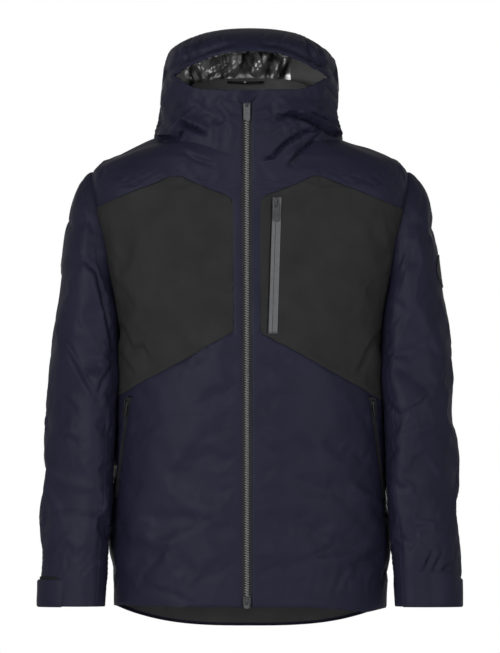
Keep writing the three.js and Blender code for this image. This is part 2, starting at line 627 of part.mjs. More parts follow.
// Main zip, opened from both ends.
for (const side of [RIGHT, LEFT]) {
  addPiece(`main_zip_tape_${sideName[side]}`, zipTape(mainFrame, MAIN_ZIP, side), BLACK);
  addPiece(`main_zip_teeth_${sideName[side]}`, zipRow(mainFrame, MAIN_ZIP, side), TEETH);
}
addPiece('zip_garage', bar(mainFrame, [-GARAGE.half, GARAGE.half], GARAGE.ends, GARAGE.layer), NAVY);
addPiece('zip_foot', bar(mainFrame, [-ZIP_FOOT.half, ZIP_FOOT.half], ZIP_FOOT.ends, ZIP_FOOT.layer), BLACK);
addPiece('main_slider', zipSlider(mainFrame, MAIN_ZIP, MAIN_SLIDER), METAL);
addPiece('main_pull', zipPull(MAIN_ZIP, pullPivot(mainFrame, MAIN_ZIP, MAIN_SLIDER), ACROSS, OUT, UP), METAL);
addPiece('lower_slider', zipSlider(mainFrame, MAIN_ZIP, LOWER_SLIDER), METAL);
addPiece('lower_pull', zipPull({ pull: LOWER_PULL },
  pullPivot(mainFrame, MAIN_ZIP, LOWER_SLIDER), ACROSS, OUT, UP), METAL);

// Chest pocket zip, with a coated tape in front of its coil.
const chestTapes = [RIGHT, LEFT].map((half) => zipTape(chestFrame, CHEST_ZIP, half));
const chestRows = [RIGHT, LEFT].map((half) => zipRow(chestFrame, CHEST_ZIP, half));
addPiece('chest_zip_tape', joined(chestFrame, CHEST_ZIP, chestTapes, CHEST_ZIP.tapeLayer), REFLECTIVE);
addPiece('chest_zip_coil', joined(chestFrame, CHEST_ZIP, chestRows, CHEST_ZIP.rowLayer), BLACK);
addPiece('chest_slider', zipSlider(chestFrame, CHEST_ZIP, CHEST_SLIDER), METAL);
addPiece('chest_pull', zipPull(CHEST_ZIP,
  pullPivot(chestFrame, CHEST_ZIP, CHEST_SLIDER), ACROSS, OUT, UP), METAL);

// Hand pocket zips.
for (const side of [RIGHT, LEFT]) {
  const frame = handFrames[side];
  const name = sideName[side];
  const halves = [RIGHT, LEFT].map((half) => zipTape(frame, HAND_ZIP, half));
  const rows = [RIGHT, LEFT].map((half) => zipRow(frame, HAND_ZIP, half));
  const coils = joined(frame, HAND_ZIP, rows, HAND_ZIP.rowLayer);
  addPiece(`hand_zip_${name}`, joined(frame, HAND_ZIP, halves, HAND_ZIP.tapeLayer).add(coils), BLACK);
  addPiece(`hand_slider_${name}`, zipSlider(frame, HAND_ZIP, HAND_SLIDER), METAL);
  addPiece(`hand_pull_${name}`, zipPull(HAND_ZIP,
    pullPivot(frame, HAND_ZIP, HAND_SLIDER), frame.across, frame.out, frame.up), METAL);
}

// Pocket bags, empty and flat between the shell and the lining.
const bagLayer = layer(bodyForm, ...BAG_LAYER, BODY_SIDES).intersect(frontHalf);
const handBag = [[70, 70], [205, 70], [208, 380], [165, 395], [110, 300], [70, 240]];
const bags = [
  ['chest_pocket_bag', [[30, 452], [150, 452], [150, 640], [120, 690], [30, 690]]],
  ['hand_pocket_bag_L', handBag],
  ['hand_pocket_bag_R', handBag.map(([x, z]) => [-x, z]).reverse()],
];
for (const [name, outline] of bags) {
  const bag = bagLayer.intersect(frontPrism(outline, -FAR, 0));
  addPiece(name, zipHoles.reduce((rest, hole) => rest.subtract(hole), bag), BLACK);
}

jacket.position.set(-HANGER.x, -HANGER.back + HANGER.reach / 2, -HANGER.height);

export default jacket;
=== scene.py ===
"""The looks of a hooded foul weather jacket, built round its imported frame.

Shapes are worked out in jacket millimetres: x to the wearer's left, y to the back, z up from the
lowest point of the back hem. JACKET_ORIGIN places that system in the frame, and is read from it.
"""
import json
import math

import bmesh
import bpy
import numpy as np
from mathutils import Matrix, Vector

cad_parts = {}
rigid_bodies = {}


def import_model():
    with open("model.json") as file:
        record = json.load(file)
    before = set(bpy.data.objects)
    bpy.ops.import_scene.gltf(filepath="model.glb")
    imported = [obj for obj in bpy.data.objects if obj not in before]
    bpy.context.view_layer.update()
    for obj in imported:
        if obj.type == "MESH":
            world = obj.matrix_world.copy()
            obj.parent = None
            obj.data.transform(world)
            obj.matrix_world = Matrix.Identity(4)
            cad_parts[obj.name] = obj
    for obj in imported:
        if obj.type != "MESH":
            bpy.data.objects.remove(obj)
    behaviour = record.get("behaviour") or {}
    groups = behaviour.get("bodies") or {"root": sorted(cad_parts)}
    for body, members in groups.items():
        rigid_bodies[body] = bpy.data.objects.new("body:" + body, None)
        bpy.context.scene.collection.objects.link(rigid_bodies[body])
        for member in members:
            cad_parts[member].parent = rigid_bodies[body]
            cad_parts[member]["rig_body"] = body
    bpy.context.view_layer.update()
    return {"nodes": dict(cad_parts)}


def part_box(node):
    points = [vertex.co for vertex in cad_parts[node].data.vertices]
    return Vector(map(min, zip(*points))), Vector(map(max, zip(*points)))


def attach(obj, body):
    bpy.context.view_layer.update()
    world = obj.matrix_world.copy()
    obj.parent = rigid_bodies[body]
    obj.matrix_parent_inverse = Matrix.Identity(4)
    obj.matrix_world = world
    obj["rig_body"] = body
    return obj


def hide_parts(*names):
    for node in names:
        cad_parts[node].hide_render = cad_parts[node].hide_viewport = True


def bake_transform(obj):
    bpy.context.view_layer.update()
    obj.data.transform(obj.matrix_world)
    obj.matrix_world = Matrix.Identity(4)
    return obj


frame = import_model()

MM = 0.001

# ------------------------------------------------------------------ where things are
RIGHT, LEFT = -1, 1
SIDES = ((RIGHT, "R"), (LEFT, "L"))
ZIP_X = -5.0
FRONT_DEPTH = 138.0
FRONT_BEND = 380.0
FRONT_LEAN = 0.063
ZIP_HALF = 7.8

teeth_left, teeth_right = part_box("main_zip_teeth_L"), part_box("main_zip_teeth_R")
JACKET_ORIGIN = np.array([
    (teeth_right[0].x + teeth_left[1].x) / 2 - ZIP_X * MM,
    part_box("front_lower_L")[0].y + FRONT_DEPTH * MM,
    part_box("back_panel")[0].z,
])

# Body: height, half width, depth to the back.
BODY_ROWS = np.array([
    (-12, 217, 136), (60, 219, 137), (144, 222, 138), (380, 214, 136), (480, 212, 131), (536, 221, 129),
    (575, 230, 126), (616, 238, 124), (650, 247, 121), (672, 251, 118), (709, 254, 110), (722, 253, 107),
    (730, 249, 103), (744, 232, 100), (760, 195, 98), (771, 162, 97), (778, 148, 96), (790, 108, 94),
    (810, 60, 92)], float)
BODY_ROUNDNESS, CHEST_ROUNDNESS = 2.3, 3.2
BODY_OVAL = (218, 136, 136)
BODY_LOW, BODY_SHOULDER, BODY_TOP = -8, 690, 806
HEM_HALF = 217.0
FRONT_HEM = [(-218, 33), (-100, 31), (100, 30), (190, 22), (218, 28)]
BACK_HEM, BACK_HEM_RISE = -3.0, 34.0
YOKE_HEIGHT = 640.0
NECK_FRONT, NECK_BACK = (-115.0, 752.0), (95.0, 800.0)

# Hood with collar: height, half width, front depth, back depth, up to the crown.
HOOD_ROWS = np.array([
    (728, 147, 116, 92), (755, 148, 114.4, 107), (783, 150, 112.7, 114), (802, 143, 111.4, 117),
    (818, 139.5, 110.4, 119), (850, 138, 108.4, 124), (878, 136, 114, 127), (904, 132, 120, 123),
    (920, 124, 116, 113), (932, 109, 106, 102), (942, 89, 90, 86), (949, 66, 70, 66), (953, 42, 46, 44),
    (954.6, 20, 23, 22), (955, 0.5, 0.6, 0.6)], float)
HOOD_ROUNDNESS, HOOD_OVAL = 2.25, (141, 114, 122)
HOOD_PIVOT, HOOD_CORNER = (113.0, 745.0), (-75.0, 873.0)
FACE_MIDDLE = (3.0, 884.0)
MAIN_SLOT_TOP = 843.5
FACE_LENS = [
    (-120, 878), (-105, 889), (-81, 899), (-58, 908), (-28, 915), (4, 917), (37, 915), (66, 906), (87, 897),
    (107, 886), (125, 877), (112, 869), (96, 861), (78, 856), (16, 855), (-34, 855), (-78, 856), (-93, 860),
    (-106, 867)]
BRIM_BACK = -58.0
HOOD_CENTRE = 52.0

# Sleeve rails: outer edge, inner edge, half depth, middle of the depth.
SLEEVE_ROWS = [
    ((240, 722), (186, 562), 46, 2), ((257, 728), (208, 542), 53, 2), ((273.5, 704), (212.2, 529), 59, 2),
    ((285, 680), (212.4, 521), 62, 2), ((298.5, 616), (207, 496), 68, 1), ((318, 456), (206, 408), 67, -4),
    ((325.5, 360), (212.5, 345), 65, -8), ((333, 200), (219, 200), 61, -18),
    ((334.5, 147), (224.5, 147), 60, -21), ((337, 27), (231.5, 27), 56, -28)]
SLEEVE_SKEW = 20.0
# The same rails carried on into the body, as a table of outer x and z, inner x and z, depth and middle.
SLEEVE_IN_BODY = [((191, 698), (141, 548), 40, 2)] + SLEEVE_ROWS
SLEEVE_TABLE = np.array([
    [*outer, *inner, depth, middle] for outer, inner, depth, middle in SLEEVE_IN_BODY], float)
SLEEVE_ROUNDNESS, SLEEVE_OVAL = 2.2, (54, 62, 62)
ARM_RADIUS, ARM_FAR, ARM_NEAR_X, ARM_NEAR_Z = 75, 60, 120, 470
SLEEVE_SEAM = 0.86
BADGE_HEIGHT, BADGE_DEPTH, BADGE_RADIUS = 566.0, -8.0, 26.5


def new_object(name, data):
    """An object in the scene."""
    made = bpy.data.objects.new(name, data)
    bpy.context.scene.collection.objects.link(made)
    return made


def smoothstep(value, low, high):
    t = np.clip((value - low) / (high - low), 0, 1)
    return t * t * (3 - 2 * t)


def bell(value, middle, width):
    return np.exp(-((value - middle) / width) ** 2)


def body_round(z):
    """How square the body is seen from above: squarer between the armholes."""
    chest = smoothstep(z, 430, 570) * (1 - smoothstep(z, 690, 745))
    return BODY_ROUNDNESS + (CHEST_ROUNDNESS - BODY_ROUNDNESS) * chest


def front_depth(z):
    return FRONT_DEPTH - FRONT_LEAN * np.maximum(0, z - FRONT_BEND)


def body_front(z):
    """The front of the body, which leans back behind the collar at its top."""
    return front_depth(z) - 0.22 * np.maximum(0, z - 750)


def smooth_reader(xs, ys, blur):
    """A function through the points (xs, ys) with its corners rounded over a length of blur."""
    fine = np.arange(xs[0] - 4 * blur, xs[-1] + 4 * blur, blur / 8)
    raw = np.interp(fine, xs, ys)
    kernel = np.exp(-0.5 * (np.arange(-24, 25) / 8.0) ** 2)
    soft = np.convolve(np.pad(raw, 24, mode="edge"), kernel / kernel.sum(), mode="valid")
    return lambda at: np.interp(at, fine, soft)


def oval(angle, half, front, back, roundness):
    power = 2 / roundness
    c, s = np.cos(angle), np.sin(angle)
    x = half * np.sign(c) * np.abs(c) ** power
    y = np.where(s < 0, front, back) * np.sign(s) * np.abs(s) ** power
    return x, y


def even_angles(count, half, front, back, roundness):
    """Angles, from the front middle right round, that divide an oval into equal lengths."""
    fine = np.linspace(-math.pi / 2, 1.5 * math.pi, 4001)
    x, y = oval(fine, half, front, back, roundness)
    run = np.concatenate([[0], np.cumsum(np.hypot(np.diff(x), np.diff(y)))])
    return np.interp(np.linspace(0, run[-1], count, endpoint=False), run, fine)


body_half = smooth_reader(BODY_ROWS[:, 0], BODY_ROWS[:, 1], 5)
body_back = smooth_reader(BODY_ROWS[:, 0], BODY_ROWS[:, 2], 9)


def body_surface(columns, heights):
    """Points (height, column) of the body."""
    angles = even_angles(columns, *BODY_OVAL, BODY_ROUNDNESS)
    z = heights[:, None]
    x, y = oval(angles[None, :], body_half(z), body_front(z), body_back(z), body_round(z))
    return np.stack([x, y, np.broadcast_to(z, x.shape)], -1)


def body_heights(step):
    """Heights a step apart, and closer together over the shoulders."""
    low = np.arange(BODY_LOW, BODY_SHOULDER, step)
    return np.concatenate([low, np.arange(BODY_SHOULDER, BODY_TOP, step * 0.4)])


def along_rows(rows, columns, step):
    """Rows of numbers resampled every step along the length of the first two columns."""
    reach = np.concatenate([[0], np.cumsum(np.hypot(*np.diff(rows[:, :2], axis=0).T))])
    stops = np.linspace(0, reach[-1], max(int(reach[-1] / step), 4))
    return [smooth_reader(reach, rows[:, k], step * 1.2 + 4)(stops) for k in columns]


def hood_surface(columns, step, inset=0.0):
    z, half, front, back = along_rows(HOOD_ROWS, range(4), step)
    shrink = np.minimum(inset, half * 0.9)
    angles = even_angles(columns, *HOOD_OVAL, HOOD_ROUNDNESS)
    x, y = oval(angles[None, :], (half - shrink)[:, None], (front - shrink)[:, None],
                (back - shrink)[:, None], HOOD_ROUNDNESS)
    drop = inset * np.clip((z - 880) / 60, 0, 1)
    return np.stack([x, y, np.broadcast_to((z - drop)[:, None], x.shape)], -1)


def sleeve_surface(side, columns, step):
    """Points (ring, column) of a sleeve, and how far across each is, from -1 inside to 1 outside."""
    rows = SLEEVE_TABLE
    centre = (rows[:, 0:2] + rows[:, 2:4]) / 2
    reach = np.concatenate([[0], np.cumsum(np.hypot(*np.diff(centre, axis=0).T))])
    stops = np.linspace(0, reach[-1], int(reach[-1] / step) // 2 * 2 + 1)
    ox, oz, ix, iz, depth, middle = [smooth_reader(reach, rows[:, k], 9)(stops)[:, None] for k in range(6)]
    angles = even_angles(columns, *SLEEVE_OVAL, SLEEVE_ROUNDNESS)
    across, back = oval(angles[None, :], 1.0, 1.0, 1.0, SLEEVE_ROUNDNESS)
    x = (ox + ix) / 2 + across * (ox - ix) / 2
    z = (oz + iz) / 2 + across * (oz - iz) / 2
    skew = SLEEVE_SKEW * smoothstep(-across, -0.6, 1) * smoothstep(-z, -440, -380)
    points = np.stack([side * x, middle + back * depth - skew, z], -1)
    turned = slice(None, None, -1) if side == LEFT else slice(None)
    return points[:, turned], np.broadcast_to(across, x.shape)[:, turned]


# ------------------------------------------------------------------ cloth
def normals_of(points):
    """Outward normals of a closed grid (row, column, xyz)."""
    around = np.roll(points, -1, axis=1) - np.roll(points, 1, axis=1)
    along = np.gradient(points, axis=0)
    normal = np.cross(around, along)
    return normal / np.maximum(np.linalg.norm(normal, axis=-1, keepdims=True), 1e-9)


def line_distance(x, z, line):
    """Signed distance to a line of points seen from the front, and the share along it."""
    line = np.asarray(line, float)
    best = np.full(x.shape, 1e9)
    signed = np.zeros(x.shape)
    share = np.zeros(x.shape)
    for k in range(len(line) - 1):
        (ax, az), (bx, bz) = line[k], line[k + 1]
        dx, dz = bx - ax, bz - az
        t = np.clip(((x - ax) * dx + (z - az) * dz) / (dx * dx + dz * dz), 0, 1)
        px, pz = x - ax - t * dx, z - az - t * dz
        gap = np.hypot(px, pz)
        nearer = gap < best
        best = np.where(nearer, gap, best)
        signed = np.where(nearer, np.sign(dx * pz - dz * px) * gap, signed)
        share = np.where(nearer, (k + t) / (len(line) - 1), share)
    return signed, share


def fold_height(x, z, folds):
    """The height of folds given as (line, width, ridge, tuck).

    A ridge is rounded. A tuck stands up slowly on the line's left and drops off it on the right."""
    height = np.zeros(x.shape)
    for line, width, ridge, tuck in folds:
        signed, share = line_distance(x, z, line)
        fade = np.sqrt(np.clip(4 * share * (1 - share), 0, 1))
        height += fade * ridge * bell(signed, 0, width)
        slope = np.exp(-np.maximum(signed, 0) / (2.2 * width))
        height += fade * tuck * (0.5 + 0.5 * np.tanh(signed / (0.28 * width))) * slope
        height -= fade * 0.7 * tuck * bell(signed, -0.55 * width, 0.5 * width)
    return height


SETTLE_FRAMES = 18


def settle(points, pinned, grow, cap, bend, push, seed):
    """Lets a closed grid of cloth that is a little too big for its pinned edges buckle.

    points is in millimetres, pinned from 0 to 1 for each point; returns the moved points."""
    rows, columns = points.shape[:2]
    start = points.reshape(-1, 3) * MM
    rng = np.random.default_rng(seed)
    jitter = rng.normal(0, 0.15 * MM, start.shape) * (1 - pinned.reshape(-1, 1))
    mesh = bpy.data.meshes.new("cloth")
    mesh.from_pydata((start + jitter).tolist(), [], grid_faces(rows, columns))
    piece = new_object("cloth", mesh)
    group = piece.vertex_groups.new(name="pin")
    weights = pinned.reshape(-1)
    for level in np.unique(np.round(weights, 2)):
        chosen = np.nonzero(np.round(weights, 2) == level)[0]
        if level > 0:
            group.add(chosen.tolist(), float(level), "REPLACE")
    cloth = piece.modifiers.new("Cloth", "CLOTH")
    settings = cloth.settings
    settings.quality = 5
    settings.mass = 0.12
    settings.tension_stiffness = settings.compression_stiffness = 12
    settings.shear_stiffness = 4
    settings.bending_stiffness = bend
    settings.tension_damping = settings.compression_damping = settings.shear_damping = 3
    settings.air_damping = 2
    settings.vertex_group_mass = "pin"
    settings.shrink_min = -grow
    settings.use_pressure = True
    settings.uniform_pressure_force = push
    settings.effector_weights.gravity = 0
    cloth.collision_settings.use_collision = False
    cloth.point_cache.frame_start = 1
    cloth.point_cache.frame_end = SETTLE_FRAMES
    scene = bpy.context.scene
    for step in range(1, SETTLE_FRAMES + 1):
        scene.frame_set(step)
    shape = piece.evaluated_get(bpy.context.evaluated_depsgraph_get()).to_mesh()
    moved = np.zeros(len(shape.vertices) * 3)
    shape.vertices.foreach_get("co", moved)
    move = moved.reshape(-1, 3) - start
    length = np.linalg.norm(move, axis=1, keepdims=True)
    move *= np.minimum(1, cap * MM / np.maximum(length, 1e-9)) * np.isfinite(length)
    scene.frame_set(1)
    bpy.data.objects.remove(piece)
    return ((start + move) / MM).reshape(points.shape)


def between(grid, axis, closed):
    """Puts a new row or column between each two of a grid, on the smooth curve through them."""
    if closed:
        before, after, beyond = (np.roll(grid, turn, axis) for turn in (1, -1, -2))
        middle = (9 * (grid + after) - before - beyond) / 16
        return np.stack([grid, middle], axis + 1).reshape(
            *grid.shape[:axis], 2 * grid.shape[axis], *grid.shape[axis + 1:])
    padded = np.concatenate([grid[:1], grid, grid[-1:]])
    middle = (9 * (padded[1:-2] + padded[2:-1]) - padded[:-3] - padded[3:]) / 16
    whole = np.empty((2 * len(grid) - 1, *grid.shape[1:]))
    whole[0::2] = grid
    whole[1::2] = middle
    return whole


def settled(points, pinned, **how):
    """Settles every second row and column of a closed grid, and carries the rest along."""
    coarse = points[::2, ::2]
    move = settle(coarse, pinned[::2, ::2], **how) - coarse
    return points + between(between(move, 0, False), 1, True)[:points.shape[0], :points.shape[1]]


def grid_faces(rows, columns, closed=True):
    wide = columns if closed else columns - 1
    r, c = np.meshgrid(np.arange(rows - 1), np.arange(wide), indexing="ij")
    n = (c + 1) % columns
    quads = np.stack([r * columns + c, r * columns + n, (r + 1) * columns + n, (r + 1) * columns + c], -1)
    return quads.reshape(-1, 4).tolist()


# ------------------------------------------------------------------ cutting a grid into pieces
class Sheet:
    """A grid of cloth that can be cut along fields given in its flat, unfolded places."""

    def __init__(self, points, flat):
        rows, columns = points.shape[:2]
        self.points = [tuple(p) for p in points.reshape(-1, 3).tolist()]
        self.flat = [tuple(p) for p in flat.reshape(-1, flat.shape[-1]).tolist()]
        self.faces = grid_faces(rows, columns)
        self.trims = []

    def cap(self, row, columns):
        """Closes the hole inside a row with a point at its middle."""
        ring = range(row * columns, (row + 1) * columns)
        for store in (self.points, self.flat):
            store.append(tuple(np.array([store[v] for v in ring]).mean(0)))
        middle = len(self.points) - 1
        self.faces += [[v, w, middle] for v, w in zip(ring, [*ring[1:], ring[0]])]

    def cut(self, field):
        """Splits faces along field(flat places) = 0; faces that touch a nan are left whole."""
        values = field(np.array(self.flat))
        values = np.where(np.abs(values) < 0.05, 0.05, values)
        unknown = np.isnan(values).tolist()
        above = (values > 0).tolist()
        values = values.tolist()
        made = {}
        faces = []
        for face in self.faces:
            count = sum(above[v] for v in face)
            if count == 0 or count == len(face) or any(unknown[v] for v in face):
                faces.append(face)
                continue
            upper, lower = [], []
            for v, w in zip(face, face[1:] + face[:1]):
                (upper if above[v] else lower).append(v)
                if above[v] == above[w]:
                    continue
                key = (min(v, w), max(v, w))
                if key not in made:
                    share = values[key[0]] / (values[key[0]] - values[key[1]])
                    for store in (self.points, self.flat):
                        start, end = store[key[0]], store[key[1]]
                        store.append(tuple(p + share * (q - p) for p, q in zip(start, end)))
                    made[key] = len(self.points) - 1
                upper.append(made[key])
                lower.append(made[key])
            faces += [part for part in (upper, lower) if len(part) > 2]
        self.faces = faces

    def trim(self, field, keep=1):
        """Cuts along a field and notes which side of it stays; a nan is always kept."""
        self.cut(field)
        self.trims.append((field, keep))

    def trimmed(self):
        """Drops what was trimmed off; returns the flat middles of the faces that are left."""
        flat = np.array(self.flat)
        at = np.array([flat[face].mean(0) for face in self.faces])
        kept = np.ones(len(at), bool)
        for field, keep in self.trims:
            kept &= ~(field(at) * keep < 0)
        self.faces = [face for face, stays in zip(self.faces, kept.tolist()) if stays]
        return at[kept]

    def take(self, chosen):
        """The points and faces of the chosen faces."""
        faces = [face for face, keep in zip(self.faces, chosen) if keep]
        used = sorted({v for face in faces for v in face})
        place = {v: i for i, v in enumerate(used)}
        return np.array([self.points[v] for v in used]), [[place[v] for v in face] for face in faces]


def free_edges(faces):
    """The edges that only one of a set of faces has, each as that face runs along it."""
    uses = {}
    for face in faces:
        for v, w in zip(face, face[1:] + face[:1]):
            uses.setdefault((min(v, w), max(v, w)), []).append((v, w))
    return [met[0] for met in uses.values() if len(met) == 1]


def vertex_normals(points, faces):
    normals = np.zeros(points.shape)
    for face in faces:
        p = points[face]
        normal = np.cross(p[1] - p[0], p[2] - p[0])
        if len(face) > 3:
            normal = normal + np.cross(p[2] - p[0], p[3] - p[0])
        normals[face] += normal
    return normals / np.maximum(np.linalg.norm(normals, axis=1, keepdims=True), 1e-9)


def make_piece(name, points, faces, material, thickness=0.0, roll=0.0):
    """A mesh object from jacket millimetres; cloth gets a thickness inward and rolled edges."""
    points = np.array(points, float)
    if thickness:
        normals = vertex_normals(points, faces)
        rim = free_edges(faces)
        edge = sorted({v for pair in rim for v in pair})
        points[edge] -= normals[edge] * roll
        inner = points - normals * thickness
        count = len(points)
        sides = [[w, v, v + count, w + count] for v, w in rim]
        faces = faces + [[v + count for v in reversed(face)] for face in faces] + sides
        points = np.concatenate([points, inner])
    mesh = bpy.data.meshes.new(name)
    mesh.from_pydata((points * MM + JACKET_ORIGIN).tolist(), [], faces)
    mesh.validate()
    mesh.materials.append(material)
    mesh.shade_smooth()
    if thickness:
        mesh.set_sharp_from_angle(angle=math.radians(62))
    return new_object(name, mesh)


# ------------------------------------------------------------------ materials
def add_node(tree, kind, **settings):
    """A shader node; a setting is a property of it, the value of an input, or the output that feeds one."""
    node = tree.nodes.new("ShaderNode" + kind)
    for key, value in settings.items():
        if hasattr(node, key):
            setattr(node, key, value)
        elif isinstance(value, bpy.types.NodeSocket):
            tree.links.new(value, node.inputs[key.replace("_", " ")])
        else:
            node.inputs[key.replace("_", " ")].default_value = value
    return node


def place_on_piece(tree):
    return add_node(tree, "TexCoord").outputs["Object"]


def new_material(name, colour, roughness, **sockets):
    """A material whose even values sit on the shader's own sockets."""
    made = bpy.data.materials.new(name)
    made.use_nodes = True
    shader = made.node_tree.nodes["Principled BSDF"]
    shader.inputs["Base Color"].default_value = (*colour, 1)
    shader.inputs["Roughness"].default_value = roughness
    for socket, value in sockets.items():
        shader.inputs[socket.replace("_", " ")].default_value = value
    return made, made.node_tree, shader


def coloured_by(tree, shader, height, dark, light, low, high):
    """Colour that goes from dark to light as a height goes from low to high."""
    ramp = add_node(tree, "ValToRGB", Fac=height)
    for stop, position, colour in zip(ramp.color_ramp.elements, (low, high), (dark, light)):
        stop.position = position
        stop.color = (*colour, 1)
    tree.links.new(ramp.outputs["Color"], shader.inputs["Base Color"])


def mottle(tree, shader, dark, light, scale):
    """Colour that drifts between two tones."""
    noise = add_node(tree, "TexNoise", Vector=place_on_piece(tree), Scale=scale, Detail=4)
    coloured_by(tree, shader, noise.outputs["Fac"], dark, light, 0.3, 0.7)


def bump(tree, shader, height, strength, distance):
    """Adds a height to what already shapes the surface."""
    node = add_node(tree, "Bump", Height=height, Strength=strength, Distance=distance)
    into = shader.inputs["Normal"]
    if into.is_linked:
        tree.links.new(into.links[0].from_socket, node.inputs["Normal"])
    tree.links.new(node.outputs["Normal"], into)


def weave_height(tree, pitch):
    """Crossing threads: one set runs level, the other up the cloth."""
    place = place_on_piece(tree)
    turned = add_node(tree, "Mapping", Vector=place, Rotation=(0, 0, math.radians(38)))
    how = {"wave_type": "BANDS", "Scale": 1 / pitch / 6.3}
    level = add_node(tree, "TexWave", Vector=place, bands_direction="Z", **how)
    rising = add_node(tree, "TexWave", Vector=turned.outputs["Vector"], bands_direction="X", **how)
    both = add_node(tree, "Math", operation="ADD")
    tree.links.new(level.outputs["Fac"], both.inputs[0])
    tree.links.new(rising.outputs["Fac"], both.inputs[1])
    return both.outputs["Value"]


def noise_height(tree, scale, detail, stretch=(1, 1, 1)):
    stretched = add_node(tree, "Mapping", Vector=place_on_piece(tree), Scale=stretch)
    noise = add_node(tree, "TexNoise", Vector=stretched.outputs["Vector"], Scale=scale, Detail=detail)
    return noise.outputs["Fac"]


def cloth_material(name, dark, light, roughness, pitch, crumple, specular=0.25):
    made, tree, shader = new_material(name, dark, roughness, Specular_IOR_Level=specular)
    mottle(tree, shader, dark, light, 26)
    bump(tree, shader, noise_height(tree, 42, 4), 0.5, crumple)
    bump(tree, shader, noise_height(tree, 700, 2), 0.3, 0.00012)
    bump(tree, shader, weave_height(tree, pitch), 0.35, 0.00008)
    return made


NAVY = cloth_material("shell_navy", (0.0155, 0.0150, 0.0320), (0.0185, 0.0177, 0.0372), 0.5, 0.0007, 0.0005,
                      specular=0.12)
GREY = cloth_material("shell_grey", (0.0235, 0.0235, 0.0245), (0.0290, 0.0290, 0.0300), 0.8, 0.0011, 0.0006,
                      specular=0.12)
LINING = cloth_material("lining_dark", (0.056, 0.056, 0.058), (0.069, 0.069, 0.071), 0.55, 0.0005, 0.0008)
FACING = cloth_material("facing_navy", (0.011, 0.011, 0.024), (0.014, 0.014, 0.029), 0.6, 0.0007, 0.0010)
MESH = cloth_material("pocket_mesh", (0.012, 0.012, 0.013), (0.02, 0.02, 0.021), 0.85, 0.0016, 0.0010)
TAPE = cloth_material("zip_tape", (0.020, 0.020, 0.023), (0.027, 0.027, 0.031), 0.75, 0.0009, 0.0001)
WEBBING = cloth_material("loop_webbing", (0.010, 0.010, 0.011), (0.016, 0.016, 0.017), 0.7, 0.0012, 0.0001)
HOOKS = cloth_material("hook_and_loop", (0.008, 0.008, 0.009), (0.014, 0.014, 0.015), 0.95, 0.0013, 0.0006)
LABEL = cloth_material("label_white", (0.55, 0.55, 0.55), (0.66, 0.66, 0.66), 0.6, 0.0004, 0.0001)


def foil_material():
    made, tree, shader = new_material("hood_foil", (0.34, 0.34, 0.35), 0.34, Metallic=0.7)
    # The foil's colour runs from near black to near white along these streaks: painted highlight and shade
    # streaks that stand in for the satin's sheen. The same streaks also bump the surface.
    streaks_and_painted_sheen = noise_height(tree, 13, 1.5, (5.0, 5.0, 0.9))
    coloured_by(tree, shader, streaks_and_painted_sheen, (0.07, 0.07, 0.075), (0.95, 0.94, 0.94), 0.36, 0.7)
    bump(tree, shader, streaks_and_painted_sheen, 0.7, 0.004)
    bump(tree, shader, weave_height(tree, 0.0012), 0.2, 0.0001)
    return made


def moulded_material(name, dark, light, roughness, metallic=0.0, grain=0.00006):
    made, tree, shader = new_material(name, dark, roughness, Metallic=metallic)
    mottle(tree, shader, dark, light, 180)
    bump(tree, shader, noise_height(tree, 1500, 3), 0.4, grain)
    return made


FOIL = foil_material()
# The patch's own grey is painted about five times lighter: painted light that offsets the shade it sits in at
# the side of the hood.
PATCH_PAINTED_LIGHT = cloth_material("hood_patch_painted_light", (0.17, 0.165, 0.17), (0.21, 0.205, 0.21), 0.6, 0.0008, 0.0008)
# A lighter copy of the dark lining for the inside of the collar: painted light that offsets the shade inside
# the hood.
COLLAR_PAINTED_LIGHT = cloth_material("collar_lining_painted_light", (0.100, 0.098, 0.098), (0.120, 0.118, 0.118), 0.6, 0.0006, 0.0010)
TEETH = moulded_material("zip_teeth", (0.22, 0.22, 0.215), (0.30, 0.30, 0.29), 0.32)
COIL = moulded_material("zip_coil", (0.007, 0.007, 0.008), (0.012, 0.012, 0.013), 0.5)
METAL = moulded_material("slider_metal", (0.095, 0.097, 0.102), (0.135, 0.137, 0.143), 0.38, metallic=0.8)
DARK_METAL = moulded_material("pull_dark", (0.055, 0.056, 0.060), (0.085, 0.086, 0.091), 0.42, metallic=0.8)
COATED = moulded_material("coated_tape", (0.095, 0.097, 0.104), (0.118, 0.120, 0.128), 0.42, grain=0.0001)
RUBBER = moulded_material("badge_rubber", (0.009, 0.009, 0.010), (0.014, 0.014, 0.015), 0.55)


# ------------------------------------------------------------------ where the cloth is cut
NOWHERE = np.nan


def outline_inside(x, z, outline):
    """Distance from an outline seen from the front, above 0 inside it."""
    points = np.asarray(outline, float)
    nearest = np.full(x.shape, 1e9)
    inside = np.zeros(x.shape, bool)
    for (ax, az), (bx, bz) in zip(points, np.roll(points, -1, axis=0)):
        dx, dz = bx - ax, bz - az
        t = np.clip(((x - ax) * dx + (z - az) * dz) / (dx * dx + dz * dz), 0, 1)
        nearest = np.minimum(nearest, np.hypot(x - ax - t * dx, z - az - t * dz))
        crosses = (az > z) != (bz > z)
        inside ^= crosses & (x < ax + (z - az) * dx / (dz if dz else 1e-9))
    return np.where(inside, nearest, -nearest)


def in_front(field):
    """A field that counts only on the front half."""
    return lambda p: np.where(p[:, 1] < 0, field(p), NOWHERE)


def hem_height(p):
    front = np.interp(p[:, 0], *zip(*FRONT_HEM))
    back = BACK_HEM + BACK_HEM_RISE * (np.abs(p[:, 0]) / HEM_HALF) ** 3
    return np.where(p[:, 1] < 0, front, back)


def slope_height(y, start, end):
    return start[1] + (y - start[0]) * (end[1] - start[1]) / (end[0] - start[0])


def above_neck(p):
    return p[:, 2] - slope_height(p[:, 1], NECK_FRONT, NECK_BACK)


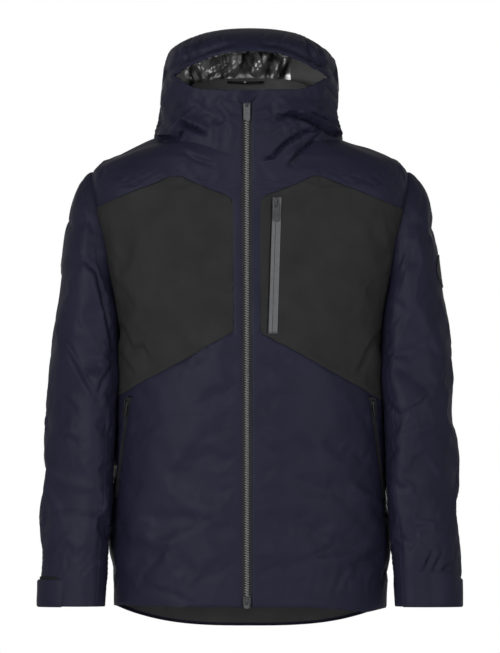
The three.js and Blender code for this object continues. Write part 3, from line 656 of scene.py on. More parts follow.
def above_hood_seam(p):
    return p[:, 2] - slope_height(p[:, 1], HOOD_CORNER, HOOD_PIVOT)


def body_outside(p):
    """Roughly how far points stand outside the body."""
    x, y, z = p[:, 0], p[:, 1], p[:, 2]
    depth = np.where(y < 0, body_front(z), body_back(z))
    power = body_round(z)
    rho = (np.abs(x / body_half(z)) ** power + np.abs(y / depth) ** power)
    rho = np.maximum(rho, 1e-6) ** (1 / power)
    return np.hypot(x, y) * (1 - 1 / rho)


def sleeve_outside(side):
    """Roughly how far points stand outside a sleeve that is carried on into the body."""
    rows = SLEEVE_TABLE[:6]
    power = SLEEVE_ROUNDNESS
    stops = np.linspace(0, len(rows) - 1, 90)
    ox, oz, ix, iz, depth, middle = [np.interp(stops, range(len(rows)), rows[:, k]) for k in range(6)]
    centre_x, centre_z, half_x, half_z = (ox + ix) / 2, (oz + iz) / 2, (ox - ix) / 2, (oz - iz) / 2
    length = np.hypot(half_x, half_z)

    def field(p):
        dx = side * p[:, 0, None] - centre_x
        dz = p[:, 2, None] - centre_z
        off = np.abs(dx * half_z - dz * half_x) / length
        ring = np.argmin(off, axis=1)
        at = np.arange(len(p))
        across = (dx[at, ring] * half_x[ring] + dz[at, ring] * half_z[ring]) / length[ring] ** 2
        back = (p[:, 1] - middle[ring]) / depth[ring]
        rho = (np.abs(across) ** power + np.abs(back) ** power) ** (1 / power)
        near = (side * p[:, 0] > ARM_NEAR_X) & (p[:, 2] > ARM_NEAR_Z)
        return np.where(near, (rho - 1) * ARM_RADIUS, ARM_FAR)
    return field


def chest_outline(side):
    """The grey chest panel of one side, as it is seen from the front."""
    edge = 21.5
    outline = [
        (edge, 468), (75, 440), (144, 401), (176, 384), (213, 360), (400, 280), (400, 620), (238, 669),
        (157, 702), (138, 710), (124, 716), (113, 718), (104, 717), (92, 711), (75, 703), (52, 694),
        (33, 688), (26, 683), (22, 676), (edge, 668)]
    return [(ZIP_X + side * x, z) for x, z in outline]


CHEST_ENDS, CHEST_X, CHEST_GAP = (466, 684), (35.2, 42), 8.2
HAND_TOP, HAND_FOOT, HAND_GAP = (193, 366), (214, 203), 4.3
HAND_RUN, HAND_TEETH = (0.4, 165.6), (0.6, 165.4)


def chest_slot(p):
    line = [(CHEST_X[0], CHEST_ENDS[0]), (CHEST_X[1], CHEST_ENDS[1])]
    signed, _ = line_distance(p[:, 0], p[:, 2], line)
    ends = np.maximum(CHEST_ENDS[0] - p[:, 2], p[:, 2] - CHEST_ENDS[1])
    return np.maximum(np.abs(signed) - CHEST_GAP, ends)


def skin_depth(x, z):
    """The depth of the front at a place seen from the front."""
    share = np.clip(np.abs(x) / body_half(z), 0, 1)
    return -front_depth(z) * (1 - share ** BODY_ROUNDNESS) ** (1 / BODY_ROUNDNESS)


def hand_frame(side):
    """The foot, up, out and across directions of a hand pocket zip, and its length."""
    foot, top = [np.array([side * x, float(skin_depth(np.array(x), z)), z]) for x, z in (HAND_FOOT, HAND_TOP)]
    length = np.linalg.norm(top - foot)
    up = (top - foot) / length
    out = np.array([-side * up[1], side * up[0], 0])
    out /= np.linalg.norm(out)
    return foot, up, out, np.cross(-out, up), length


def hand_slot(side):
    foot, up, _, across, length = hand_frame(side)

    def field(p):
        along = (p[:, :3] - foot) @ up
        beside = np.abs((p[:, :3] - foot) @ across)
        slot = np.maximum(beside - HAND_GAP, np.maximum(-along, along - length))
        return np.where((p[:, 1] < 0) & (side * p[:, 0] > 120), slot, NOWHERE)
    return field


def main_slot(p):
    return np.maximum(np.abs(p[:, 0] - ZIP_X) - ZIP_HALF, p[:, 2] - MAIN_SLOT_TOP)


def face_outline(grow):
    """The face opening seen from the front, drawn out from its middle by a length."""
    middle = np.array(FACE_MIDDLE)
    lens = np.array(FACE_LENS, float) - middle
    length = np.hypot(*lens.T)[:, None]
    return lens * (length + grow) / length + middle


def face_distance(p, grow=0.0):
    """Distance from the edge of the face opening, above 0 inside it."""
    return outline_inside(p[:, 0], p[:, 2], face_outline(grow))


# ------------------------------------------------------------------ folds
def ripples(angle, seed, low, high, count=7):
    """Irregular waves round an angle, about 1 high."""
    rng = np.random.default_rng(seed)
    waves = np.zeros(np.shape(angle))
    for _ in range(count):
        waves += np.sin(rng.uniform(low, high) * angle + rng.uniform(0, 2 * math.pi))
    return waves / math.sqrt(count)


HILL_WAVES = 18


def soft_noise(points, seed, size):
    """Smooth irregular hills of about the given size, about 1 high."""
    rng = np.random.default_rng(seed)
    hills = np.zeros(points.shape[:-1])
    for _ in range(HILL_WAVES):
        way = rng.normal(size=3)
        way *= 2 * math.pi / (size * rng.uniform(0.7, 1.6) * np.linalg.norm(way))
        hills += np.sin(points @ way + rng.uniform(0, 2 * math.pi))
    return hills / math.sqrt(HILL_WAVES)


# Each fold is (line, width, ridge, tuck), seen from the front; R and L are the wearer's sides.
TORSO_FOLDS = [
    ([(160, 221), (186, 208), (213, 189)], 7, 2.5, 0),
    ([(-171, 67), (-123, 56), (-80, 35)], 8, 0, 2.5),
    ([(-200, 46), (-150, 44), (-96, 34)], 9, 2.0, 0),
    ([(-36, 216), (-22, 196), (-16, 180)], 5, 1.4, 0), ([(-38, 178), (-25, 160), (-16, 150)], 5, 1.3, 0),
    ([(-40, 146), (-26, 128), (-16, 121)], 5, 1.2, 0),
    ([(170, 404), (176, 418), (193, 454), (209, 474)], 8, 0, 4.0),
    ([(-206, 486), (-186, 446), (-171, 450), (-158, 425)], 7, 0, 4.0),
    ([(-208, 440), (-182, 402)], 6, 0, 3.0),
    ([(-205, 500), (-150, 470), (-120, 450)], 14, 1.2, 0),
    ([(205, 520), (150, 480), (130, 450)], 14, 1.2, 0),
    ([(-60, 350), (-100, 300), (-110, 250)], 20, 1.4, 0), ([(60, 340), (110, 290), (130, 230)], 20, 1.4, 0),
    ([(-205, 150), (-150, 130), (-100, 128)], 10, 1.3, 0),
    ([(205, 130), (160, 110), (110, 108)], 10, 1.6, 0),
    ([(60, 60), (120, 52), (190, 60)], 10, 1.6, 0),
    ([(30, 735), (70, 722), (110, 728)], 9, 1.4, 0)]
SLEEVE_FOLDS = {
    RIGHT: [
        ([(-222, 435), (-230, 474), (-239, 523), (-250, 562), (-270, 584)], 8, 0, 5.0),
        ([(-244, 352), (-269, 394), (-295, 443), (-308, 450)], 8, 0, 4.0),
        ([(-248, 362), (-240, 392), (-221, 424)], 7, 0, 4.0),
        ([(-301, 371), (-272, 344)], 8, 1.5, 2.0), ([(-312, 304), (-292, 306), (-275, 296)], 6, 0, 3.5),
        ([(-312, 125), (-293, 139), (-269, 120)], 8, 2, 0),
        ([(-300, 430), (-262, 400), (-236, 396)], 9, 2, 0),
        ([(-320, 240), (-290, 222), (-262, 226)], 9, 1.6, 0),
        ([(-270, 640), (-262, 560), (-268, 500)], 16, 1.8, 0),
        ([(-250, 101), (-258, 90), (-268, 80)], 4, 0, 3.0),
        ([(-232, 106), (-240, 105), (-248, 102)], 4, 0, 2.5)],
    LEFT: [
        ([(237, 339), (272, 360), (283, 376)], 8, 1.5, 2.5),
        ([(277, 275), (296, 252), (309, 237)], 8, 1.5, 2.0),
        ([(256, 189), (272, 157)], 8, 2, 0), ([(225, 430), (252, 420), (290, 440)], 9, 2, 0),
        ([(228, 300), (262, 312), (300, 316)], 8, 2, 0), ([(236, 240), (258, 222), (266, 190)], 7, 2, 0),
        ([(276, 88), (280, 104), (290, 118)], 3.5, 0, 4.2),
        ([(289, 86), (297, 106), (305, 116)], 3.5, 0, 4.2),
        ([(302, 84), (310, 96), (324, 103)], 3.5, 0, 4.5),
        ([(300, 150), (322, 132)], 7, 1.6, 0),
        ([(272, 640), (262, 560), (266, 500)], 16, 1.8, 0)]}
HOOD_FOLDS = [
    ([(-156, 780), (-118, 781), (-112, 798), (-102, 804), (-92, 798), (-66, 787)], 6, 0, 16),
    ([(40, 815), (66, 820), (87, 815), (107, 804), (128, 791), (156, 780)], 6, 0, 15),
    ([(87, 826), (114, 813), (150, 790)], 5, 0, 6),
    ([(118, 792), (87, 787), (58, 768), (37, 745), (20, 742)], 5, 0, 10),
    ([(58, 733), (74, 755), (112, 792)], 5, 0, 8),
    ([(-108, 762), (-84, 748), (-56, 738)], 7, 0, 3.5), ([(-60, 806), (-52, 780), (-52, 748)], 6, 1.4, 0),
    ([(-38, 822), (-31, 790), (-35, 756)], 5, 1.2, 0), ([(-28, 826), (-22, 800), (-26, 770)], 4, 1.0, 0),
    ([(-100, 762), (-106, 740), (-100, 726)], 7, 1.5, 0),
    ([(10, 775), (34, 792), (52, 806)], 5, 1.3, 0), ([(16, 820), (38, 824), (60, 834)], 6, 1.3, 0),
    ([(150, 824), (128, 838), (104, 840)], 6, 1.6, 0), ([(146, 806), (122, 818), (100, 832)], 6, 1.4, 0),
    ([(-146, 812), (-120, 826), (-104, 822)], 8, 1.6, 0),
    ([(-107, 930), (-117, 900)], 4.5, 0, 3.2), ([(-92, 938), (-102, 904)], 4.5, 0, 3.4),
    ([(-68, 944), (-86, 912)], 5, 0, 3.4), ([(-38, 948), (-48, 924)], 5, 0, 2.6),
    ([(6, 952), (-10, 926)], 5, 0, 3.2), ([(30, 952), (16, 928)], 5, 0, 3.4),
    ([(62, 950), (44, 926)], 5, 0, 3.6), ([(86, 942), (100, 920), (114, 902)], 5.5, 0, 4.2),
    ([(108, 928), (124, 888)], 5, 0, 3.6)]


# ------------------------------------------------------------------ the three big forms, folded and settled
def facing_front(normals):
    return smoothstep(-normals[..., 1], 0.05, 0.45)


def folded(points, normals, folds, seed, front=0.6, rear=2.2):
    """How far folds seen from the front, and made-up ones behind, stand out."""
    seen = facing_front(normals)
    height = seen * fold_height(points[..., 0], points[..., 2], folds)
    height += (1 - seen) * rear * soft_noise(points * (1, 1, 0.8), seed, 95)
    height += front * 0.5 * soft_noise(points, seed + 1, 120) + 0.3 * soft_noise(points, seed + 2, 38)
    return height


def clear_of_zip(points, near, far):
    """0 beside the main zip, 1 away from it and behind."""
    beyond = smoothstep(np.abs(points[..., 0] - ZIP_X), near, far)
    return np.where(points[..., 1] < 0, beyond, 1)


def on_grid(field, grid):
    return field(grid.reshape(-1, 3)).reshape(grid.shape[:2])


# A form needs an odd number of rows, so that every second one reaches both ends.
TORSO_COLUMNS, TORSO_STEP, NECK_OVERLAP, ARM_OVERLAP = 288, 4.4, 22.0, 5.0
torso_base = body_surface(TORSO_COLUMNS, body_heights(TORSO_STEP))
if len(torso_base) % 2 == 0:
    torso_base = torso_base[:-1]
torso_normals = normals_of(torso_base)
off_arm = np.minimum(*[on_grid(sleeve_outside(side), torso_base) for side in (RIGHT, LEFT)])
off_neck = smoothstep(-on_grid(above_neck, torso_base), 10, 60)
off_hem = smoothstep(torso_base[..., 2], 33, 93)
off_pocket = np.ones(torso_base.shape[:2])
for slot in (in_front(chest_slot), hand_slot(RIGHT), hand_slot(LEFT)):
    off_pocket *= smoothstep(np.nan_to_num(on_grid(slot, torso_base), nan=99), 3, 20)
loose = clear_of_zip(torso_base, 12, 34) * smoothstep(off_arm, -2, 30) * (0.15 + 0.85 * off_pocket)
torso_fold = folded(torso_base, torso_normals, TORSO_FOLDS + HOOD_FOLDS, 11) * (0.12 + 0.88 * loose)
torso_fold *= clear_of_zip(torso_base, 11.5, 12.5) * (0.4 + 0.6 * off_hem)
torso = torso_base + torso_normals * torso_fold[..., None]
pin_torso = 1 - 0.98 * loose * off_neck * off_hem
torso = settled(torso, pin_torso, grow=0.010, cap=2.5, bend=0.8, push=0.05, seed=3)

SLEEVE_COLUMNS, SLEEVE_STEP = 132, 4.0
BADGE_SIDE, BADGE_CLEAR, CUFF_FADE = 270, (28, 60), (60, 84)
sleeves = {}
for side in (RIGHT, LEFT):
    base, across = sleeve_surface(side, SLEEVE_COLUMNS, SLEEVE_STEP)
    normals = normals_of(base)
    cuff_free = smoothstep(base[..., 2], 40, 150)
    off_body = smoothstep(on_grid(body_outside, base), 0, 26)
    badge_free = np.ones(base.shape[:2])
    if side == LEFT:
        off_badge = np.hypot(base[..., 2] - BADGE_HEIGHT, base[..., 1] - BADGE_DEPTH)
        badge_free = np.where(base[..., 0] < BADGE_SIDE, 1, smoothstep(off_badge, *BADGE_CLEAR))
    height = folded(base, normals, SLEEVE_FOLDS[side], 40 + side, front=1.4, rear=2.0)
    height = height * (0.25 + 0.75 * off_body) * badge_free
    height *= smoothstep(base[..., 2], *CUFF_FADE)
    shape = base + normals * height[..., None]
    free = off_body * badge_free * cuff_free
    shape = settled(shape, 1 - 0.98 * free, grow=0.014, cap=3.5, bend=0.8, push=0.05, seed=7 + side)
    sleeves[side] = {"base": base, "across": across, "points": shape}

HOOD_COLUMNS, HOOD_STEP, HOOD_STAND = 232, 3.6, 0.5
CROWN_LOW, CROWN_HIGH = 925, 950
hood_base = hood_surface(HOOD_COLUMNS, HOOD_STEP)
if len(hood_base) % 2 == 0:
    hood_base = hood_base[1:]
hood_normals = normals_of(hood_base)
face_gap = np.where(hood_base[..., 1] < 0, -on_grid(face_distance, hood_base), 200)
round_face = np.arctan2(hood_base[..., 2] - FACE_MIDDLE[1], hood_base[..., 0] - FACE_MIDDLE[0])
over_face = smoothstep(hood_base[..., 2], 864, 878) * (hood_base[..., 1] < 0)
# The brim is gathered over the face, with a rolled edge and a stitched groove behind it.
gathers = np.abs(ripples(round_face, 5, low=14, high=44)) ** 0.8 - 0.6
brim = 3.6 * gathers * np.exp(-np.maximum(face_gap, 0) / 34) * over_face
brim += (2.2 * bell(face_gap, 4, 5) - 4.4 * bell(face_gap, 13, 5)) * over_face
hood_free = clear_of_zip(hood_base, 11, 30)
hood_fold = folded(hood_base, hood_normals, TORSO_FOLDS + HOOD_FOLDS, 11)
hood_fold = (hood_fold + brim) * hood_free + HOOD_STAND
hood_fold *= 1 - smoothstep(hood_base[..., 2], CROWN_LOW, CROWN_HIGH)
hood = hood_base + hood_normals * hood_fold[..., None]
crown_free = 1 - smoothstep(hood_base[..., 2], CROWN_LOW, CROWN_HIGH - 2)
collar_free = smoothstep(hood_base[..., 2], 770, 800)
pin_hood = 1 - 0.97 * hood_free * crown_free * collar_free * smoothstep(np.abs(face_gap), 2, 16)
hood = settled(hood, pin_hood, grow=0.025, cap=5, bend=0.5, push=0.1, seed=5)


# ------------------------------------------------------------------ shell pieces
SHELL = 1.8


def cloth_piece(name, sheet, chosen, material, thickness=SHELL, roll=1.0, inset=0.0):
    points, faces = sheet.take(chosen)
    if inset:
        points = points - vertex_normals(points, faces) * inset
    return make_piece(name, points, faces, material, thickness, roll)


def declare(nodes):
    """Hides the CAD nodes that a piece stands in for."""
    if nodes:
        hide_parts(*nodes)


def place(piece, body, nodes, slot, fill=None):
    """Lets a piece ride on one body."""
    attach(piece, body)
    declare(nodes)
    return piece


torso_sheet = Sheet(torso, torso_base)
torso_sheet.trim(lambda p: p[:, 2] - hem_height(p))
torso_sheet.trim(lambda p: above_neck(p) - NECK_OVERLAP, keep=-1)
torso_sheet.cut(lambda p: p[:, 1])
torso_sheet.trim(in_front(main_slot))
torso_sheet.trim(in_front(chest_slot))
for side in (RIGHT, LEFT):
    torso_sheet.trim(lambda p, arm=sleeve_outside(side): arm(p) + ARM_OVERLAP)
    torso_sheet.trim(hand_slot(side))
    torso_sheet.cut(in_front(lambda p: outline_inside(p[:, 0], p[:, 2], chest_outline(side))))
torso_sheet.cut(lambda p: np.where(p[:, 1] > 0, p[:, 2] - YOKE_HEIGHT, NOWHERE))

torso_at = torso_sheet.trimmed()
front = torso_at[:, 1] < 0
for side, letter in SIDES:
    mine = front & (side * (torso_at[:, 0] - ZIP_X) > 0)
    in_panel = outline_inside(torso_at[:, 0], torso_at[:, 2], chest_outline(side)) > 0
    place(cloth_piece(f"chest_panel_{letter}_cloth", torso_sheet, mine & in_panel, GREY), "torso",
          [f"chest_panel_{letter}"], "shell_grey", 0.35)
    place(cloth_piece(f"front_{letter}_cloth", torso_sheet, mine & ~in_panel, NAVY), "torso",
          [f"front_lower_{letter}", f"front_yoke_{letter}"], "shell_navy", 0.35)
low = torso_at[:, 2] < YOKE_HEIGHT
place(cloth_piece("back_panel_cloth", torso_sheet, ~front & low, NAVY), "torso", ["back_panel"],
      "shell_navy", 0.35)
place(cloth_piece("back_yoke_cloth", torso_sheet, ~front & ~low, NAVY), "torso", ["back_yoke"],
      "shell_navy", 0.35)


# ------------------------------------------------------------------ sleeves
def arm_blend(piece):
    """Bakes the sleeve piece's placement into its mesh."""
    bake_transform(piece)


SEAM_ACROSS, ACROSS_SCALE, SLEEVE_TUCK, LINING_TUCK = 1 - 2 * SLEEVE_SEAM, 50, 4.0, 8.0
for side, letter in SIDES:
    arm = sleeves[side]
    sheet = Sheet(arm["points"], np.concatenate([arm["base"], ACROSS_SCALE * arm["across"][..., None]], -1))
    sheet.trim(lambda p: body_outside(p) + SLEEVE_TUCK)
    sheet.cut(lambda p: p[:, 3] - ACROSS_SCALE * SEAM_ACROSS)
    upper = sheet.trimmed()[:, 3] > ACROSS_SCALE * SEAM_ACROSS
    for node, chosen in ((f"sleeve_top_{letter}", upper), (f"sleeve_under_{letter}", ~upper)):
        piece = cloth_piece(node + "_cloth", sheet, chosen, NAVY, roll=0.4)
        arm_blend(piece)
        declare([node])


# ------------------------------------------------------------------ hood and collar
def hood_blend(piece):
    """Works out a turning line through the hood's pivot, which nothing uses, and bakes the piece's placement
    into its mesh.
    """
    way = np.array([0, 0.563, 0.827])
    foot = np.array([0, HOOD_PIVOT[0], HOOD_PIVOT[1]])
    foot = foot - way * (foot @ way)
    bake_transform(piece)


COLLAR_TUCK, COLLAR_TUCK_BEHIND = 10.0, 14.0


def collar_reach(p):
    """Above 0 where the hood and collar show, with a margin tucked inside the body."""
    front = above_neck(p) + COLLAR_TUCK
    return np.where(p[:, 1] < 0, front, np.maximum(front, body_outside(p) + COLLAR_TUCK_BEHIND))


hood_sheet = Sheet(hood, hood_base)
hood_sheet.cap(len(hood_base) - 1, hood_base.shape[1])
hood_sheet.trim(in_front(face_distance), keep=-1)
hood_sheet.trim(collar_reach)
hood_sheet.cut(above_hood_seam)
hood_sheet.trim(in_front(main_slot))


GARAGE_FOOT, GARAGE_LEAN = 842.0, 17.0


def garage_side(p):
    """Which side of the slanting fold above the zip, or of the zip itself, a place is on."""
    middle = ZIP_X + np.clip(p[:, 2] - GARAGE_FOOT, 0, GARAGE_LEAN)
    return np.where(p[:, 1] < 0, p[:, 0] - middle, NOWHERE)


hood_sheet.cut(garage_side)
hood_sheet.cut(lambda p: p[:, 1] - BRIM_BACK)
for side in (RIGHT, LEFT):
    hood_sheet.cut(lambda p: p[:, 0] - side * HOOD_CENTRE)
at = hood_sheet.trimmed()
collar = above_hood_seam(at) < 0
on_left = np.where(at[:, 1] < 0, garage_side(at) > 0, at[:, 0] > ZIP_X)
in_brim = at[:, 1] < BRIM_BACK
in_centre = np.abs(at[:, 0]) < HOOD_CENTRE
hood_parts = [
    ("collar_shell_R", collar & ~on_left), ("collar_shell_L", collar & on_left),
    ("hood_brim", ~collar & in_brim), ("hood_centre", ~collar & ~in_brim & in_centre),
    ("hood_side_R", ~collar & ~in_brim & ~in_centre & (at[:, 0] < 0)),
    ("hood_side_L", ~collar & ~in_brim & ~in_centre & (at[:, 0] > 0))]
for node, chosen in hood_parts:
    piece = cloth_piece(node + "_cloth", hood_sheet, chosen, NAVY, thickness=2.2, roll=0.35)
    hood_blend(piece)
    declare([node])


FLAP_ROWS, FLAP_COLUMNS = 17, 25


def garage_flap():
    """The fold of cloth that stands over the slider at the top of the main zip."""
    share = np.linspace(0, 1, FLAP_COLUMNS)[None, :]
    up = np.linspace(0, 1, FLAP_ROWS)[:, None]
    start = -18 - 3 * up
    x = start + (3 + 14 * up - start) * share
    z = 834.5 + 20 * up - 4 * (share - 0.45) ** 2 + 0 * x
    out = 1.2 + 9.6 * np.sin(math.pi * share) ** 0.8 * (1 - up) ** 0.9
    points = np.stack([x, -front_depth(z) - out, z], -1)
    return points.reshape(-1, 3), grid_faces(FLAP_ROWS, FLAP_COLUMNS, closed=False)


place(make_piece("zip_garage_cloth", *garage_flap(), NAVY, 1.2, 0.3), "torso", ["zip_garage"], "shell_navy")


# ------------------------------------------------------------------ linings and pocket bags
LINING_HEM, LINING_ARM, LINING_NECK, PLACKET_HALF = 5.0, 12.0, 1.0, 22.0
beside_placket = in_front(lambda p: np.abs(p[:, 0] - ZIP_X) - PLACKET_HALF)
torso_skin = torso[::2, ::2]
lining_points = torso_skin - normals_of(torso_skin) * (5.6 + 0.8 * soft_noise(torso_skin, 61, 70)[..., None])
lining_sheet = Sheet(lining_points, torso_base[::2, ::2])
lining_sheet.trim(lambda p: p[:, 2] - hem_height(p) - LINING_HEM)
lining_sheet.trim(lambda p: above_neck(p) + LINING_NECK, keep=-1)
lining_sheet.cut(lambda p: p[:, 1])
lining_sheet.trim(beside_placket)
for side in (RIGHT, LEFT):
    lining_sheet.trim(lambda p, arm=sleeve_outside(side): arm(p) + LINING_ARM)
at = lining_sheet.trimmed()
front = at[:, 1] < 0
place(cloth_piece("back_lining_cloth", lining_sheet, ~front, LINING, 0.8, 0.3), "torso", ["back_lining"],
      "lining_dark")
for side, letter in SIDES:
    mine = front & (side * (at[:, 0] - ZIP_X) > 0)
    place(cloth_piece(f"front_lining_{letter}_cloth", lining_sheet, mine, LINING, 0.8, 0.3), "torso",
          [f"front_lining_{letter}"], "lining_dark")

HAND_BAG = [(70, 70), (205, 70), (208, 380), (165, 395), (110, 300), (70, 240)]
BAGS = [
    ("chest_pocket_bag", [(30, 452), (150, 452), (150, 640), (120, 690), (30, 690)]),
    ("hand_pocket_bag_L", HAND_BAG), ("hand_pocket_bag_R", [(-x, z) for x, z in HAND_BAG])]
for node, outline in BAGS:
    chosen = (torso_at[:, 1] < 0) & (outline_inside(torso_at[:, 0], torso_at[:, 2], outline) > 0)
    place(cloth_piece(node + "_cloth", torso_sheet, chosen, MESH, 0.7, 0.0, inset=3.2), "torso", [node],
          "pocket_mesh")

FACING_TOP = 62.0
for side, letter in SIDES:
    skin, base = sleeves[side]["points"][::2, ::2], sleeves[side]["base"][::2, ::2]
    inner = skin - normals_of(skin) * (5.2 + 0.6 * soft_noise(skin, 71 + side, 55)[..., None])
    sheet = Sheet(inner, base)
    sheet.trim(lambda p: body_outside(p) + LINING_TUCK)
    sheet.cut(lambda p: p[:, 2] - FACING_TOP)
    above = sheet.trimmed()[:, 2] > FACING_TOP
    lining = cloth_piece(f"sleeve_lining_{letter}_cloth", sheet, above, LINING, 0.8, 0.3)
    arm_blend(lining)
    declare([f"sleeve_lining_{letter}"])
    place(cloth_piece(f"cuff_facing_{letter}_cloth", sheet, ~above, FACING, 0.9, 0.4), f"sleeve_{letter}",
          [f"cuff_facing_{letter}"], "facing_navy")


# ------------------------------------------------------------------ inside the hood
PATCH_EDGE, PATCH_TOP, PATCH_FORE = 66.0, 916.0, -20.0
LINING_GROW, SEAM_LIFT = 1.5, 4.0
LINING_COLUMNS, LINING_STEP, LINING_INSET = 300, 4.0, 5.5
FOIL_FOLDS = [
    ([(-103, 890), (-90, 852)], 4, 7, 0), ([(-88, 900), (-73, 866)], 4, 7, 0),
    ([(-72, 882), (-46, 894), (-26, 918)], 4, 8, 0), ([(-62, 876), (-36, 886), (-16, 912)], 4, 7, 0),
    ([(-29, 880), (-12, 916)], 4, 8, 0), ([(7, 880), (30, 916)], 6, 9, 0),
    ([(44, 872), (62, 910)], 5, 8, 0)]
lining_base = hood_surface(LINING_COLUMNS, LINING_STEP, LINING_INSET)
turn = np.arctan2(lining_base[..., 1], lining_base[..., 0])
# Pleats fan out over the foil and die away on the plain patch; folds of the shell push the lining in.
gathered = smoothstep(lining_base[..., 2], 876, 902)
fanned = turn + 0.0035 * (lining_base[..., 2] - 880) * np.sin(2.6 * turn + 0.8)
crisp = np.abs(ripples(fanned, 31, count=9, low=16, high=46)) ** 0.75
drift = np.abs(ripples(fanned, 33, count=5, low=50, high=80)) ** 0.8
plain = smoothstep(lining_base[..., 0], PATCH_EDGE - 8, PATCH_EDGE + 4)
pleat = (0.4 + gathered * (4.6 * crisp + drift)) * (1 - 0.85 * plain)
pleat += 0.5 * soft_noise(lining_base, 35, 40)
pleat += 2.6 * bell(lining_base[..., 2], 873, 8) * (1 - plain)
behind = lining_base[..., 1] > 0
pleat += fold_height(lining_base[..., 0], lining_base[..., 2], FOIL_FOLDS) * behind * (1 - plain)
lining_gap = np.where(lining_base[..., 1] < 0, -on_grid(face_distance, lining_base), 0)
hidden = smoothstep(lining_gap, 2, 14)
trench = fold_height(lining_base[..., 0], lining_base[..., 2], HOOD_FOLDS) * (lining_base[..., 1] < 0)
pleat += hidden * (6.5 - np.minimum(trench, 0))
hood_inside = lining_base - normals_of(lining_base) * pleat[..., None]
hood_lining = Sheet(hood_inside, lining_base)
hood_lining.cap(len(lining_base) - 1, lining_base.shape[1])
hood_lining.trim(in_front(lambda p: face_distance(p, LINING_GROW)), keep=-1)
hood_lining.trim(lambda p: above_hood_seam(p) - SEAM_LIFT)
hood_lining.cut(lambda p: np.where(p[:, 1] > PATCH_FORE, p[:, 0] - PATCH_EDGE, NOWHERE))
hood_lining.cut(lambda p: np.where((p[:, 1] > PATCH_FORE) & (p[:, 0] > 0), p[:, 2] - PATCH_TOP, NOWHERE))
at = hood_lining.trimmed()
patch = (at[:, 0] > PATCH_EDGE) & (at[:, 2] < PATCH_TOP) & (at[:, 1] > PATCH_FORE)
foil_piece = cloth_piece("hood_lining_cloth", hood_lining, ~patch, FOIL, 0.7, 0.3)
# The patch wears its grey lifted by painted light.
patch_piece = cloth_piece("hood_lining_patch", hood_lining, patch, PATCH_PAINTED_LIGHT, 0.7, 0.4)
for piece in (foil_piece, patch_piece):
    hood_blend(piece)
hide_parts("hood_lining")

COLLAR_ROWS = np.array([(734, 140, 106, 92), (778, 128, 98, 88), (800, 112, 90, 82), (822, 99, 82, 77),
                        (884, 94, 79, 75)], float)
COLLAR_TOP, COLLAR_OVAL = ((-85.0, 843.0), (80.0, 877.0)), (110, 90, 82)
COLLAR_COLUMNS, COLLAR_STEP = 200, 3.5
collar_z = np.arange(COLLAR_ROWS[0, 0], COLLAR_ROWS[-1, 0], COLLAR_STEP)
half, fore, aft = [
    smooth_reader(COLLAR_ROWS[:, 0], COLLAR_ROWS[:, k], 6)(collar_z)[:, None] for k in (1, 2, 3)]
turn = even_angles(COLLAR_COLUMNS, *COLLAR_OVAL, BODY_ROUNDNESS)
x, y = oval(turn[None, :], half, fore, aft, BODY_ROUNDNESS)
collar_base = np.stack([x, y, np.broadcast_to(collar_z[:, None], x.shape)], -1)
collar_wave = 1.1 * soft_noise(collar_base, 81, 60) - 0.8
collar_sheet = Sheet(collar_base + normals_of(collar_base) * collar_wave[..., None], collar_base)
collar_sheet.trim(lambda p: slope_height(p[:, 1], *COLLAR_TOP) - p[:, 2])
collar_sheet.trim(beside_placket)
collar_sheet.trim(lambda p: above_neck(p) - LINING_NECK)
whole = np.ones(len(collar_sheet.trimmed()), bool)
# The inner collar wears the lightened copy of the lining, with painted light.
place(cloth_piece("inner_collar_cloth", collar_sheet, whole, COLLAR_PAINTED_LIGHT, 2.6, 0.9), "torso", ["inner_collar"],
      "lining_dark", 0.4)


# ------------------------------------------------------------------ straps, tabs and the badge
def strip(rails, layers):
    """A closed band between two depths: rails is (point, step) places, layers their outward ways."""
    rows, columns = rails.shape[:2]
    outer = rails + layers[0]
    inner = rails + layers[1]
    points = np.concatenate([outer.reshape(-1, 3), inner.reshape(-1, 3)])
    half = rows * columns
    faces = grid_faces(rows, columns, closed=False)
    faces += [[v + half for v in reversed(face)] for face in faces]
    rim = [r * columns for r in range(rows)]
    rim += [(rows - 1) * columns + c for c in range(1, columns)]
    rim += [r * columns + columns - 1 for r in range(rows - 2, -1, -1)]
    rim += list(range(columns - 2, 0, -1))
    faces += [[v, v + half, w + half, w] for v, w in zip(rim, rim[1:] + rim[:1])]
    return points, faces


def face_outward(points, faces):
    """The points and faces of a solid, every face turned round if it was inside out."""
    volume = 0.0
    for face in faces:
        p = points[face]
        for k in range(1, len(face) - 1):
            volume += np.dot(p[0], np.cross(p[k], p[k + 1]))
    return points, faces if volume > 0 else [face[::-1] for face in faces]


def sleeve_ring(z):
    """Half width, middle across, half depth and middle depth of a sleeve near its cuff."""
    outer, inner, depth, middle = [
        np.interp(z, (27, 147), values) for values in ((337, 334.5), (231.5, 224.5), (56, 60), (-28, -21))]
    return (outer - inner) / 2, (outer + inner) / 2, depth, middle


BAND_ROWS, BAND_COLUMNS = 22, 40


